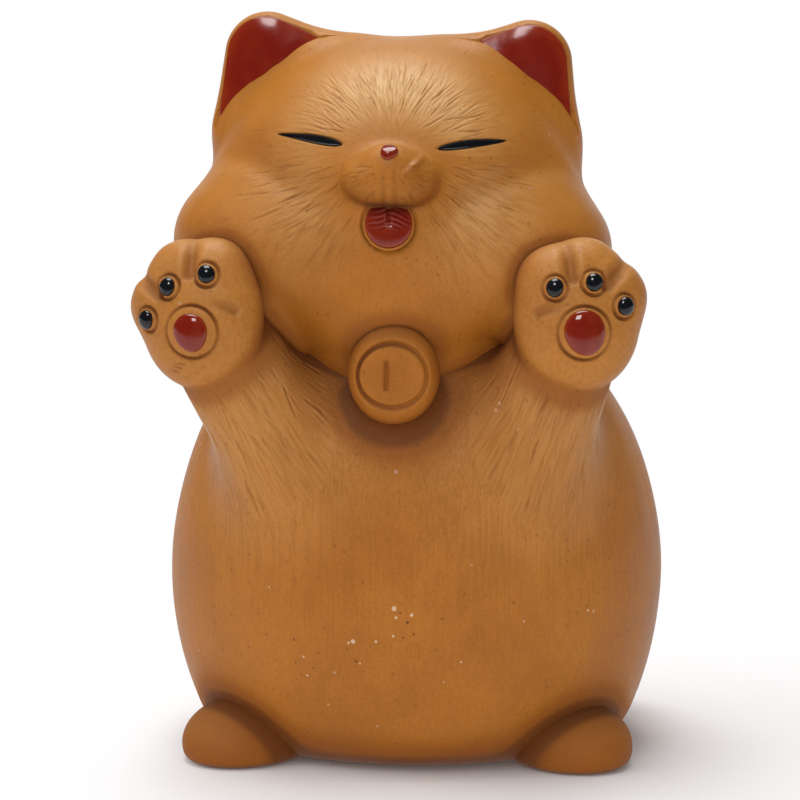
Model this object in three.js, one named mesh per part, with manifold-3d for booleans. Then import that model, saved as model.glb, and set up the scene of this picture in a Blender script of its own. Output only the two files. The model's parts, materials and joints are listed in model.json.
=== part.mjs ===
// Cat tea pet: a hollow fired-clay figure of a plump sitting cat that raises both paws.
// Clay pieces are formed apart and luted with slip, and the glaze drops are fired on.
// Millimetres, +Z up, the cat faces -Y, and its own left is +X.

import * as THREE from 'three';
import { mergeVertices } from 'three/addons/utils/BufferGeometryUtils.js';
import Module from 'manifold-3d';

const wasm = await Module();
wasm.setup();

// Driving dimensions: luting and walls
const SLIP = 0.3; // layer of slip between two luted clay pieces
const GLAZE_GAP = 0.3; // space between a glaze drop and the clay that carries it
const BODY_WALL = 4.5;
const HEAD_WALL = 4.5;

// Driving dimensions: body, an upright egg cut flat at the bottom
const BODY_X = 0.8;
const BODY_Y = 0.8;
const BODY_HALF_WIDTH = 34.2;
const BODY_HALF_DEPTH = 29;
const BODY_HALF_HEIGHT = 41;
const BODY_SINK = 17.5; // how far the egg reaches below the flat bottom
const NECK_VENT_RADIUS = 5; // lets the head's hollow breathe into the body's

// Driving dimensions: base plate, set into the body's open bottom
const BASE_RIM = 5; // width of the body's rim round the plate
const BASE_THICKNESS = 4;
const BASE_VENT_RADIUS = 3.5;

// Driving dimensions: head, a round skull with two cheeks, a chin and a full nape
const HEAD_ASIDE = -2.5; // the head sits towards the cat's right
const HEAD_ROLL = 1.7; // and its right ear is a little higher
const FACE_ASIDE = 0.65; // muzzle and eyes sit back towards the cat's left
const HEAD_RISE = 12.1; // skull centre above the body's top
const HEAD_FORWARD = 1.5;
const SKULL = { halfWidth: 25.2, halfDepth: 23, halfHeight: 20.9 };
const CHEEK = { halfWidth: 15.6, halfDepth: 14.6, halfHeight: 11.6, apart: 14.2, drop: 6.9, forward: 7.4 };
const CHIN = { halfWidth: 14, halfDepth: 14.6, halfHeight: 10.8, drop: 14.8, forward: 8.6, aside: 0.7 };
const NAPE = { halfWidth: 19, halfDepth: 13, halfHeight: 12, drop: 14.5, back: 6.5 };
const CHEEK_FILLET = 4;
const CHIN_FILLET = 6;
const NAPE_FILLET = 8;
const NECK_FILLET = 2;

// Driving dimensions: muzzle and what it carries
const MUZZLE = { halfWidth: 4.1, halfDepth: 4.2, halfHeight: 3.6, apart: 2.1, rise: 2.9, forward: 0.1 };
const MUZZLE_CROWN = { halfWidth: 3.6, halfDepth: 3.2, halfHeight: 3, rise: 1.8, forward: 1.2 }; // from the lobes' middle
const LOBE_FILLET = 2;
const MUZZLE_FILLET = 1.6;
const NOSE_DROP = { halfWidth: 1.1, halfHeight: 1.2, height: 0.8, rise: 2.2 }; // from the crown's middle
const TONGUE = { radius: 3.4, height: 1.5, drop: 2.9, recess: 0.9 };
const TONGUE_GLAZE = { rim: 0.4, height: 0.8 };
const TONGUE_CLEFT = { halfLength: 1.7, halfWidth: 0.3, depth: 0.5, rise: 1.3 };

// Driving dimensions: eyes, two narrow slits filled with black glaze
const EYE = { halfLength: 4.9, halfWidth: 0.6, depth: 0.9, apart: 11, rise: 7.9, slant: 17 };

// Driving dimensions: ears, rounded three-cornered plates with a dished front
const EAR_BEARING = 50; // the ear's seat on the skull, from straight up
const EAR_CORNERS = [
  { out: 1.4, rise: -6.5 },
  { out: 0.25, rise: 3 },
  { out: -9.5, rise: -0.3 },
]; // from the seat
const EAR_ASIDE = -0.5; // both ears sit a little towards the cat's right
const EAR_ROUNDING = 5.9;
const EAR_THICKNESS = 6;
const EAR_FLAT = 0.1; // flat left between the rounded edges
const EAR_BACK = 0.5; // ear's middle plane behind the skull's centre
const EAR_RIM = 0.9; // width of the clay rim round the glaze
const EAR_DISH = 1.3; // depth of the dished front
const EAR_GLAZE_THICKNESS = 0.9;
const EAR_FILLET = 3;

// Driving dimensions: arms, which rise from the shoulders towards the cheeks
const SHOULDER = { across: 17, rise: 18.5, sink: 5.5, radius: 9 };
const WRIST = { across: 8.2, aside: -1.75, forward: 3.2, rise: 16.6, radius: 7.2 };
const ARM_FILLET = 3;

// Driving dimensions: paws, each a padded mitt with three toes
const PAW = { halfWidth: 8.4, halfDepth: 5.8, halfHeight: 9.7, forward: 3.6, rise: 4.7 };
const PAW_OUT = { left: 1.9, right: 2.4 };
const PAW_YAW = 12; // how far each palm turns outwards
const PAW_TILT = { left: 13, right: 30 }; // how far each middle toe leans outwards
const PAW_PITCH = 8; // palms look a little upwards
const TOE = { radius: 3.5, reachAcross: 6.2, reachUp: 7, spread: 50, forward: 0.3 };
const TOE_FILLET = 2.6;
const PALM_DROP = { radius: 2.85, height: 1.25, below: 2.4 };
const TOE_DROP = { radius: 1.2, height: 0.9, below: 2 }; // below the toe's middle

// Driving dimensions: bell at the throat, a flattened ball with a stepped face and a slot
const BELL = { radius: 6.1, height: 4.8, forward: 2.6, drop: 10.6, aside: -1.3 };
const BELL_FACE = { rim: 1.2, crown: 0.55, grooveWidth: 0.5, grooveDepth: 0.45, bevel: 0.35 };
const BELL_BACK = { depth: 3.9, taper: 1.2 };
const BELL_SLOT = { halfLength: 2.3, halfWidth: 0.35, depth: 0.5, aside: 0.6 };

// Driving dimensions: hind feet and tail
const FOOT = { halfWidth: 8.2, halfLength: 10.5, halfHeight: 6, lift: 1.8, turn: 30, roll: 10 };
const FOOT_PLACE = { across: 0.64, forward: 0.51, aside: -0.1 }; // shares of the body's width and depth
const TAIL = { radius: 3.6, lift: 1, sink: 3.4, startTurn: 4, endTurn: 62, startRise: 5.5, endRise: 20, tip: 0.62 };

// Smoothness of the surfaces, as steps round and from pole to pole
const FINE = [36, 20];
const MIDDLE = [24, 14];
const COARSE = [12, 7];
const HOLLOW = [20, 10];

const WELD = 1e-4;
const FAR = 90; // longer than any ray from a piece's centre to its surface
const BISECTIONS = 34;

const CLAY = new THREE.MeshStandardMaterial({ color: 0xb07432, roughness: 0.55, metalness: 0 });
const RED_GLAZE = new THREE.MeshStandardMaterial({ color: 0x7a1a0c, roughness: 0.2, metalness: 0 });
const BLACK_GLAZE = new THREE.MeshStandardMaterial({ color: 0x0d0f12, roughness: 0.12, metalness: 0 });

const SIDES = [
  { name: 'left', sign: 1 },
  { name: 'right', sign: -1 },
];
const FORWARD = new THREE.Vector3(0, -1, 0);
const BACKWARD = new THREE.Vector3(0, 1, 0);
const UP = new THREE.Vector3(0, 0, 1);

const at = (x, y, z) => new THREE.Vector3(x, y, z);
const degrees = THREE.MathUtils.degToRad;

// A form is the distance from a point to a surface, negative inside it.
function ellipsoid(centre, radii, turn = new THREE.Quaternion()) {
  const back = turn.clone().invert();
  const least = Math.min(radii.x, radii.y, radii.z);
  return (p) => {
    const share = p.clone().sub(centre).applyQuaternion(back).divide(radii);
    const slope = share.clone().divide(radii).length();
    const reach = share.length();
    return slope < 1e-9 ? -least : (reach * (reach - 1)) / slope;
  };
}

function limb(start, end, startRadius, endRadius) {
  const run = end.clone().sub(start);
  return (p) => {
    const along = THREE.MathUtils.clamp(p.clone().sub(start).dot(run) / run.lengthSq(), 0, 1);
    const closest = start.clone().addScaledVector(run, along);
    return p.distanceTo(closest) - THREE.MathUtils.lerp(startRadius, endRadius, along);
  };
}

// Height of the clay that fills the corner where two surfaces meet.
function fillet(a, b, size) {
  const overlap = Math.max(size - Math.abs(a - b), 0);
  return (overlap * overlap) / (4 * size);
}

const joined = (one, other, size) => (p) => {
  const a = one(p);
  const b = other(p);
  return Math.min(a, b) - fillet(a, b, size);
};
const nearest = (one, other) => (p) => Math.min(one(p), other(p));
const grown = (form, amount) => (p) => form(p) - amount;

// One piece's own share of the filled corner between it and its neighbour.
const filleted = (own, neighbour, size) => (p) => {
  const distance = own(p);
  return distance - fillet(distance, neighbour(p), size);
};

// First point of a form that a ray meets, and the way the surface faces there.
function landing(form, from, direction) {
  const p = from.clone();
  for (let step = 0; step < 200; step++) {
    p.addScaledVector(direction, form(p) * 0.8);
  }
  return p;
}

function facing(form, p) {
  const reach = SLIP / 6;
  const slope = (x, y, z) => form(at(x, y, z).multiplyScalar(reach).add(p)) - form(p);
  return at(slope(1, 0, 0), slope(0, 1, 0), slope(0, 0, 1)).normalize();
}

// A sphere whose points are pushed out along their rays until they lie on the form.
function moulded(form, centre, [around, down], turn = new THREE.Quaternion()) {
  const skin = new THREE.SphereGeometry(1, around, down).rotateX(Math.PI / 2).applyQuaternion(turn);
  const points = skin.attributes.position;
  const ray = new THREE.Vector3();
  const probe = new THREE.Vector3();
  for (let i = 0; i < points.count; i++) {
    ray.fromBufferAttribute(points, i).normalize();
    let inside = 0;
    let outside = FAR;
    for (let step = 0; step < BISECTIONS; step++) {
      const middle = (inside + outside) / 2;
      if (form(probe.copy(centre).addScaledVector(ray, middle)) < 0) inside = middle;
      else outside = middle;
    }
    probe.copy(centre).addScaledVector(ray, inside);
    points.setXYZ(i, probe.x, probe.y, probe.z);
  }
  return skin;
}

function solid(geometry) {
  const bare = geometry.clone();
  bare.deleteAttribute('normal');
  bare.deleteAttribute('uv');
  const welded = mergeVertices(bare, WELD);
  return new wasm.Manifold(
    new wasm.Mesh({
      numProp: 3,
      vertProperties: new Float32Array(welded.attributes.position.array),
      triVerts: new Uint32Array(welded.index.array),
    }),
  );
}

// The main body that is left of a blank when the cutters are taken away.
function carved(blank, ...cutters) {
  const rest = cutters.reduce((left, cutter) => left.subtract(cutter), blank);
  const bodies = rest.decompose().sort((a, b) => b.volume() - a.volume());
  return bodies[0];
}

function geometryOf(body) {
  const { vertProperties, triVerts } = body.getMesh();
  const geometry = new THREE.BufferGeometry();
  geometry.setAttribute('position', new THREE.BufferAttribute(vertProperties, 3));
  geometry.setIndex(new THREE.BufferAttribute(triVerts, 1));
  geometry.computeVertexNormals();
  return geometry;
}

// A named mesh whose own origin is the middle of its box.
function piece(name, body, material) {
  const geometry = geometryOf(body);
  geometry.computeBoundingBox();
  const middle = geometry.boundingBox.getCenter(new THREE.Vector3());
  geometry.translate(-middle.x, -middle.y, -middle.z);
  const mesh = new THREE.Mesh(geometry, material);
  mesh.name = name;
  mesh.position.copy(middle);
  return mesh;
}

// A domed drop or slit: a ball scaled to size, laid on a surface with its short axis outwards.
function drop(place, normal, along, halfLength, halfWidth, height) {
  const side = along.clone().addScaledVector(normal, -along.dot(normal)).normalize();
  const across = normal.clone().cross(side);
  const basis = new THREE.Matrix4().makeBasis(side, across, normal).setPosition(place);
  return new THREE.SphereGeometry(1, ...COARSE).rotateX(Math.PI / 2).scale(halfLength, halfWidth, height)
    .applyMatrix4(basis);
}

// Body forms
const bodyCentre = at(BODY_X, BODY_Y, BODY_HALF_HEIGHT - BODY_SINK);
const bodyRadii = at(BODY_HALF_WIDTH, BODY_HALF_DEPTH, BODY_HALF_HEIGHT);
const bodyForm = ellipsoid(bodyCentre, bodyRadii);
const bodyTop = bodyCentre.z + BODY_HALF_HEIGHT;
const bottomShare = Math.sqrt(1 - (bodyCentre.z / BODY_HALF_HEIGHT) ** 2);

// Head forms
const skullCentre = at(BODY_X + HEAD_ASIDE, BODY_Y - HEAD_FORWARD, bodyTop + HEAD_RISE);
const headTurn = new THREE.Quaternion().setFromAxisAngle(at(0, 1, 0), degrees(HEAD_ROLL));
const fromSkull = (across, forward, rise) =>
  at(across, -forward, rise).applyQuaternion(headTurn).add(skullCentre);
const fromFace = (across, forward, rise) => fromSkull(FACE_ASIDE + across, forward, rise);
const skullForm = ellipsoid(skullCentre, at(SKULL.halfWidth, SKULL.halfDepth, SKULL.halfHeight), headTurn);
const cheekRadii = at(CHEEK.halfWidth, CHEEK.halfDepth, CHEEK.halfHeight);
const [leftCheek, rightCheek] = SIDES.map(({ sign }) =>
  ellipsoid(fromSkull(sign * CHEEK.apart, CHEEK.forward, -CHEEK.drop), cheekRadii, headTurn),
);
const chinForm = ellipsoid(
  fromSkull(CHIN.aside, CHIN.forward, -CHIN.drop),
  at(CHIN.halfWidth, CHIN.halfDepth, CHIN.halfHeight),
  headTurn,
);
const napeForm = ellipsoid(
  fromSkull(0, -NAPE.back, -NAPE.drop),
  at(NAPE.halfWidth, NAPE.halfDepth, NAPE.halfHeight),
  headTurn,
);
const cheekedForm = joined(skullForm, nearest(leftCheek, rightCheek), CHEEK_FILLET);
const headForm = joined(joined(cheekedForm, chinForm, CHIN_FILLET), napeForm, NAPE_FILLET);

// Muzzle form: two lobes under a rounded bridge
const muzzleRadii = at(MUZZLE.halfWidth, MUZZLE.halfDepth, MUZZLE.halfHeight);
const muzzleRoot = landing(headForm, fromFace(0, FAR, MUZZLE.rise), BACKWARD);
const fromMuzzle = (across, forward, rise) =>
  at(across, -MUZZLE.forward - forward, rise).applyQuaternion(headTurn).add(muzzleRoot);
const [leftLobe, rightLobe] = SIDES.map(({ sign }) =>
  ellipsoid(fromMuzzle(sign * MUZZLE.apart, 0, 0), muzzleRadii, headTurn),
);
const crownForm = ellipsoid(
  fromMuzzle(0, MUZZLE_CROWN.forward, MUZZLE_CROWN.rise),
  at(MUZZLE_CROWN.halfWidth, MUZZLE_CROWN.halfDepth, MUZZLE_CROWN.halfHeight),
  headTurn,
);
const muzzleForm = joined(joined(leftLobe, rightLobe, LOBE_FILLET), crownForm, MUZZLE_FILLET);

// Ear form: a rounded three-cornered plate, seen from the front, with soft edges
const earLean = degrees(EAR_BEARING);
const earReach = 1 / Math.hypot(Math.sin(earLean) / SKULL.halfWidth, Math.cos(earLean) / SKULL.halfHeight);
const earSeat = new THREE.Vector2(Math.sin(earLean), Math.cos(earLean)).multiplyScalar(earReach);

function cornersOf(sign) {
  const across = (out) => EAR_ASIDE + sign * (earSeat.x + out);
  return EAR_CORNERS.map(({ out, rise }) => new THREE.Vector2(across(out), earSeat.y + rise));
}

function outlineDistance(x, z, corners) {
  const p = new THREE.Vector2(x, z);
  let least = Infinity;
  let turns = 0;
  corners.forEach((corner, i) => {
    const edge = corners[(i + 1) % corners.length].clone().sub(corner);
    const offset = p.clone().sub(corner);
    const along = THREE.MathUtils.clamp(offset.dot(edge) / edge.lengthSq(), 0, 1);
    least = Math.min(least, offset.clone().addScaledVector(edge, -along).length());
    turns += Math.sign(edge.cross(offset));
  });
  return Math.abs(turns) === corners.length ? -least : least;
}

function earPlate(sign, rounding, thickness, middle) {
  const corners = cornersOf(sign);
  const upright = headTurn.clone().invert();
  const edge = Math.min(thickness / 2, rounding) - EAR_FLAT;
  return (p) => {
    const local = p.clone().sub(skullCentre).applyQuaternion(upright);
    const out = outlineDistance(local.x, local.z, corners) - rounding + edge;
    const through = Math.abs(local.y - middle) - thickness / 2 + edge;
    return Math.hypot(Math.max(out, 0), Math.max(through, 0)) + Math.min(Math.max(out, through), 0) - edge;
  };
}
const earCentre = (sign, back) => {
  const [a, b, c] = cornersOf(sign);
  return fromSkull((a.x + b.x + c.x) / 3, -back, (a.y + b.y + c.y) / 3);
};
const earForms = SIDES.map(({ sign }) => earPlate(sign, EAR_ROUNDING, EAR_THICKNESS, EAR_BACK));

// Arm forms: a tapered limb from inside the shoulder to the wrist
const arms = SIDES.map(({ sign }) => {
  const front = at(BODY_X + sign * SHOULDER.across, BODY_Y - FAR, bodyCentre.z + SHOULDER.rise);
  const skin = landing(bodyForm, front, BACKWARD);
  const shoulder = skin.addScaledVector(facing(bodyForm, skin), -SHOULDER.sink);
  const wrist = shoulder.clone().add(at(sign * WRIST.across + WRIST.aside, -WRIST.forward, WRIST.rise));
  const turn = new THREE.Quaternion().setFromUnitVectors(UP, wrist.clone().sub(shoulder).normalize());
  const form = limb(shoulder, wrist, SHOULDER.radius, WRIST.radius);
  return { wrist, turn, form, middle: shoulder.clone().lerp(wrist, 0.5) };
});
const armsForm = nearest(arms[0].form, arms[1].form);

// Paw forms: a thick oval mitt with three round toes fanned over its top edge
const paws = SIDES.map(({ name, sign }, i) => {
  const centre = arms[i].wrist.clone().add(at(sign * PAW_OUT[name], -PAW.forward, PAW.rise));
  const turn = new THREE.Quaternion().setFromEuler(
    new THREE.Euler(-degrees(PAW_PITCH), 0, sign * degrees(PAW_YAW), 'ZYX'),
  );
  const palmOut = FORWARD.clone().applyQuaternion(turn);
  const inPaw = (across, forward, rise) =>
    at(sign * across, -forward, rise).applyQuaternion(turn).add(centre);
  const toes = [-1, 0, 1].map((step) => {
    const lean = degrees(PAW_TILT[name] + step * TOE.spread);
    return { across: TOE.reachAcross * Math.sin(lean), rise: TOE.reachUp * Math.cos(lean) };
  });
  const radii = at(PAW.halfWidth, PAW.halfDepth, PAW.halfHeight);
  const toeRadii = at(TOE.radius, TOE.radius, TOE.radius);
  const form = toes
    .map(({ across, rise }) => ellipsoid(inPaw(across, TOE.forward, rise), toeRadii))
    .reduce((mitt, toe) => joined(mitt, toe, TOE_FILLET), ellipsoid(centre, radii, turn));
  return { centre, palmOut, inPaw, toes, form };
});

// Hind foot forms
const feet = SIDES.map(({ sign }) => {
  const across = sign * FOOT_PLACE.across * BODY_HALF_WIDTH + FOOT_PLACE.aside;
  const centre = at(BODY_X + across, BODY_Y - FOOT_PLACE.forward * BODY_HALF_DEPTH, FOOT.lift);
  const turn = new THREE.Quaternion().setFromEuler(
    new THREE.Euler(0, -sign * degrees(FOOT.roll), sign * degrees(FOOT.turn), 'ZYX'),
  );
  return { centre, form: ellipsoid(centre, at(FOOT.halfWidth, FOOT.halfLength, FOOT.halfHeight), turn) };
});

// Blanks that later pieces are cut by, each with its share of the filled corners
const bodySkin = filleted(bodyForm, armsForm, ARM_FILLET);
const bodyBlank = (extra) => solid(moulded(grown(bodySkin, extra), bodyCentre, FINE));
const headSkin = filleted(
  filleted(filleted(headForm, nearest(...earForms), EAR_FILLET), bodyForm, NECK_FILLET),
  muzzleForm,
  MUZZLE_FILLET,
);
const headBlank = (extra) => solid(moulded(grown(headSkin, extra), skullCentre, FINE));
const armSkin = (arm) => filleted(arm.form, bodyForm, ARM_FILLET);
const armBlank = (arm, extra) => solid(moulded(grown(armSkin(arm), extra), arm.middle, MIDDLE, arm.turn));
const pawBlank = (paw, extra) => solid(moulded(grown(paw.form, extra), paw.centre, MIDDLE));

const floor = solid(new THREE.BoxGeometry(2 * FAR, 2 * FAR, FAR).translate(0, 0, -FAR / 2));
const bodyCutter = bodyBlank(SLIP);
const headCutter = headBlank(SLIP);
const armCutters = arms.map((arm) => armBlank(arm, SLIP));

// Body shell: hollow, open below for the base plate and above for the neck vent
const plateRadii = {
  x: BODY_HALF_WIDTH * bottomShare - BASE_RIM,
  y: BODY_HALF_DEPTH * bottomShare - BASE_RIM,
};

function plateDisc(extra, bottom, top) {
  return new THREE.CylinderGeometry(1, 1, top - bottom, FINE[0]).rotateX(Math.PI / 2)
    .scale(plateRadii.x + extra, plateRadii.y + extra, 1)
    .translate(BODY_X, BODY_Y, (top + bottom) / 2);
}

function bodyShell() {
  const hollow = carved(
    solid(moulded(grown(bodyForm, -BODY_WALL), bodyCentre, HOLLOW)),
    floor.translate(0, 0, BASE_THICKNESS),
  );
  const seat = solid(plateDisc(SLIP, -BASE_THICKNESS, BASE_THICKNESS + SLIP));
  const vent = new THREE.CylinderGeometry(NECK_VENT_RADIUS, NECK_VENT_RADIUS, 4 * BODY_WALL, COARSE[0])
    .rotateX(Math.PI / 2).translate(BODY_X, BODY_Y, bodyTop - BODY_WALL);
  return piece('body_shell', carved(bodyBlank(0), floor, hollow, seat, solid(vent)), CLAY);
}

function basePlate() {
  const vent = new THREE.CylinderGeometry(BASE_VENT_RADIUS, BASE_VENT_RADIUS, 4 * BASE_THICKNESS, HOLLOW[0])
    .rotateX(Math.PI / 2).translate(BODY_X, BODY_Y, 0);
  return piece('base_plate', carved(solid(plateDisc(0, 0, BASE_THICKNESS)), solid(vent)), CLAY);
}

// Eyes: where each slit lies on the face
const eyes = SIDES.map(({ name, sign }) => {
  const place = landing(headSkin, fromFace(sign * EYE.apart, FAR, EYE.rise), BACKWARD);
  const slant = degrees(EYE.slant);
  const along = at(sign * Math.cos(slant), 0, Math.sin(slant));
  return { name, place, normal: facing(headSkin, place), along };
});
const eyeBall = ({ place, normal, along }, extra) =>
  solid(drop(place, normal, along, EYE.halfLength + extra, EYE.halfWidth + extra, EYE.depth + extra));

// Tongue: a round button in a recess below the muzzle
const tonguePlace = landing(headSkin, fromFace(0, FAR, -TONGUE.drop), BACKWARD);
const tongueOut = facing(headSkin, tonguePlace);
const tongueSeat = tonguePlace.clone().addScaledVector(tongueOut, -TONGUE.recess);
const tongueBall = (extra) =>
  solid(drop(tongueSeat, tongueOut, UP, TONGUE.radius + extra, TONGUE.radius + extra, TONGUE.height + extra));

function headShell() {
  const hollow = solid(moulded(grown(headForm, -HEAD_WALL), skullCentre, HOLLOW));
  const recesses = [tongueBall(GLAZE_GAP), ...eyes.map((eye) => eyeBall(eye, GLAZE_GAP))];
  return piece('head_shell', carved(headBlank(0), bodyCutter, hollow, ...recesses), CLAY);
}

const muzzleSkin = filleted(muzzleForm, headForm, MUZZLE_FILLET);
const muzzleBlank = (extra) =>
  solid(moulded(grown(muzzleSkin, extra), fromMuzzle(0, 0, 0), MIDDLE));

function muzzle() {
  return piece('muzzle', carved(muzzleBlank(0), headCutter), CLAY);
}

function noseDrop() {
  const place = landing(muzzleSkin, fromMuzzle(0, FAR, MUZZLE_CROWN.rise + NOSE_DROP.rise), BACKWARD);
  const { halfWidth, halfHeight, height } = NOSE_DROP;
  const blank = solid(drop(place, facing(muzzleSkin, place), at(1, 0, 0), halfWidth, halfHeight, height));
  return piece('nose_glaze', carved(blank, muzzleBlank(GLAZE_GAP)), RED_GLAZE);
}

function tongueCleft() {
  const top = tongueSeat.clone().addScaledVector(tongueOut, TONGUE.height + TONGUE_GLAZE.height);
  const place = top.addScaledVector(UP, TONGUE_CLEFT.rise);
  const { halfLength, halfWidth, depth } = TONGUE_CLEFT;
  return solid(drop(place, tongueOut, UP, halfLength, halfWidth, depth));
}

function tongue() {
  return piece('tongue', carved(tongueBall(0), muzzleBlank(SLIP)), CLAY);
}

function tongueGlaze() {
  const radius = TONGUE.radius - TONGUE_GLAZE.rim;
  const height = TONGUE.height + GLAZE_GAP + TONGUE_GLAZE.height;
  const blank = solid(drop(tongueSeat, tongueOut, UP, radius, radius, height));
  const front = carved(blank, tongueBall(GLAZE_GAP), headCutter, muzzleBlank(SLIP), tongueCleft());
  return piece('tongue_glaze', front, RED_GLAZE);
}

const eyeGlaze = (eye) => piece(`${eye.name}_eye_glaze`, eyeBall(eye, 0), BLACK_GLAZE);

// Ears: the dish is the same plate, smaller by the rim and set forward
const earFront = EAR_BACK - EAR_THICKNESS / 2;
const polesForward = new THREE.Quaternion().setFromAxisAngle(at(1, 0, 0), Math.PI / 2);
const earInset = (sign, rim, depth) => {
  const plate = earPlate(sign, EAR_ROUNDING - rim, 2 * depth, earFront);
  return solid(moulded(plate, earCentre(sign, earFront), MIDDLE, polesForward));
};

function ear({ name, sign }, i) {
  const skin = filleted(earForms[i], headForm, EAR_FILLET);
  const blank = solid(moulded(skin, earCentre(sign, EAR_BACK), MIDDLE, polesForward));
  return piece(`${name}_ear`, carved(blank, headCutter, earInset(sign, EAR_RIM, EAR_DISH)), CLAY);
}

function earGlaze({ name, sign }) {
  const fill = earInset(sign, EAR_RIM + GLAZE_GAP, EAR_DISH - GLAZE_GAP);
  const glazeFront = earCentre(sign, earFront + EAR_DISH - GLAZE_GAP - EAR_GLAZE_THICKNESS);
  const cover = new THREE.BoxGeometry(FAR, FAR, FAR)
    .translate(glazeFront.x, glazeFront.y - FAR / 2, glazeFront.z);
  return piece(`${name}_ear_glaze`, carved(fill, solid(cover), headCutter), RED_GLAZE);
}

function arm({ name }, i) {
  return piece(`${name}_arm`, carved(armBlank(arms[i], 0), bodyCutter, headCutter), CLAY);
}

function paw({ name }, i) {
  const blank = pawBlank(paws[i], 0);
  return piece(`${name}_paw`, carved(blank, armCutters[i], headCutter, bodyCutter), CLAY);
}

// Glaze drops on a paw: one red drop on the palm and a black one on each toe
function pawDrops({ name }, i) {
  const { form, palmOut, inPaw, toes } = paws[i];
  const skin = pawBlank(paws[i], GLAZE_GAP);
  const lay = (start, { radius, height }) => {
    const place = landing(form, start.addScaledVector(palmOut, FAR), palmOut.clone().negate());
    return carved(solid(drop(place, facing(form, place), UP, radius, radius, height)), skin);
  };
  const palm = piece(`${name}_palm_glaze`, lay(inPaw(0, 0, -PALM_DROP.below), PALM_DROP), RED_GLAZE);
  const beads = toes.map(({ across, rise }, n) =>
    piece(`${name}_toe_glaze_${n + 1}`, lay(inPaw(across, 0, rise - TOE_DROP.below), TOE_DROP), BLACK_GLAZE),
  );
  return [palm, ...beads];
}

// Bell: turned profile with a groove round a raised face, and a pressed slot
function bell() {
  const { radius, height } = BELL;
  const { rim, crown, grooveWidth, grooveDepth, bevel } = BELL_FACE;
  const grooveOuter = radius - rim;
  const face = grooveOuter - grooveWidth;
  const lip = height * Math.sqrt(1 - (grooveOuter / radius) ** 2);
  const flankSteps = 6;
  const flank = Array.from({ length: flankSteps + 1 }, (_, n) => {
    const turn = (n / flankSteps) * Math.acos(grooveOuter / radius);
    return new THREE.Vector2(radius * Math.cos(turn), height * Math.sin(turn));
  });
  const profile = [
    new THREE.Vector2(0, -BELL_BACK.depth),
    new THREE.Vector2(radius - BELL_BACK.taper, -BELL_BACK.depth),
    ...flank,
    new THREE.Vector2(grooveOuter - grooveWidth / 2, lip - grooveDepth),
    new THREE.Vector2(face, lip),
    new THREE.Vector2(face - bevel, lip + bevel),
    new THREE.Vector2(0, lip + crown),
  ];
  const carrier = nearest(bodySkin, headSkin);
  const start = at(BODY_X + BELL.aside, BODY_Y - FAR, bodyTop - BELL.drop);
  const place = landing(carrier, start, BACKWARD).addScaledVector(FORWARD, BELL.forward);
  const blank = new THREE.LatheGeometry(profile, FINE[0]).rotateX(Math.PI);
  const turned = solid(blank.translate(place.x, place.y, place.z));
  const slotPlace = place.clone().add(at(-BELL_SLOT.aside, -(lip + crown), 0));
  const slot = drop(slotPlace, FORWARD, UP, BELL_SLOT.halfLength, BELL_SLOT.halfWidth, BELL_SLOT.depth);
  return piece('bell', carved(turned, bodyCutter, headCutter, solid(slot)), CLAY);
}

function foot({ name }, i) {
  const blank = solid(moulded(feet[i].form, feet[i].centre, MIDDLE));
  return piece(`${name}_foot`, carved(blank, bodyCutter, floor), CLAY);
}

// Tail: a ball drawn out along a line that climbs round the back of the body
function tail() {
  const steps = 6;
  const line = Array.from({ length: steps }, (_, n) => {
    const share = n / (steps - 1);
    const turn = degrees(THREE.MathUtils.lerp(TAIL.startTurn, TAIL.endTurn, share));
    const rise = THREE.MathUtils.lerp(TAIL.startRise, TAIL.endRise, share * share);
    const out = at(Math.sin(turn), Math.cos(turn), 0);
    const start = at(BODY_X, BODY_Y, rise).addScaledVector(out, FAR);
    const sunk = TAIL.sink * Math.max(1 - share / 0.4, 0) ** 2;
    return landing(bodyForm, start, out.clone().negate()).addScaledVector(out, TAIL.lift - sunk);
  });
  const path = new THREE.CatmullRomCurve3(line);
  const skin = new THREE.SphereGeometry(1, MIDDLE[1], MIDDLE[0]);
  const points = skin.attributes.position;
  const p = new THREE.Vector3();
  for (let i = 0; i < points.count; i++) {
    p.fromBufferAttribute(points, i);
    const share = THREE.MathUtils.clamp((1 - p.y) / 2, 0, 1);
    const centre = path.getPointAt(share);
    const out = facing(bodyForm, centre);
    const across = out.clone().cross(path.getTangentAt(share)).normalize();
    const girth = TAIL.radius * THREE.MathUtils.lerp(1, TAIL.tip, share) * (1 - p.y ** 8);
    const ring = Math.hypot(p.x, p.z) || 1;
    centre.addScaledVector(across, (girth * p.x) / ring).addScaledVector(out, (girth * p.z) / ring);
    points.setXYZ(i, centre.x, centre.y, centre.z);
  }
  return piece('tail', carved(solid(skin), bodyCutter, floor), CLAY);
}

function group(name, ...members) {
  const made = new THREE.Group();
  made.name = name;
  return made.add(...members);
}

const torso = group('torso', bodyShell(), basePlate(), bell(), ...SIDES.map(foot), tail());
const face = group('face', muzzle(), noseDrop(), tongue(), tongueGlaze(), ...eyes.map(eyeGlaze));
const head = group('head', headShell(), ...SIDES.map(ear), ...SIDES.map(earGlaze), face);
const limbs = SIDES.map((side, i) =>
  group(`${side.name}_limb`, arm(side, i), paw(side, i), ...pawDrops(side, i)),
);

export default group('cat_tea_pet', torso, head, ...limbs);
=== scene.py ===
"""Cat tea pet: the looks of a fired-clay figure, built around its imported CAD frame.

Lengths are millimetres until a mesh is made. The cat faces -Y, and its own left is +X.
"""

import json

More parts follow.
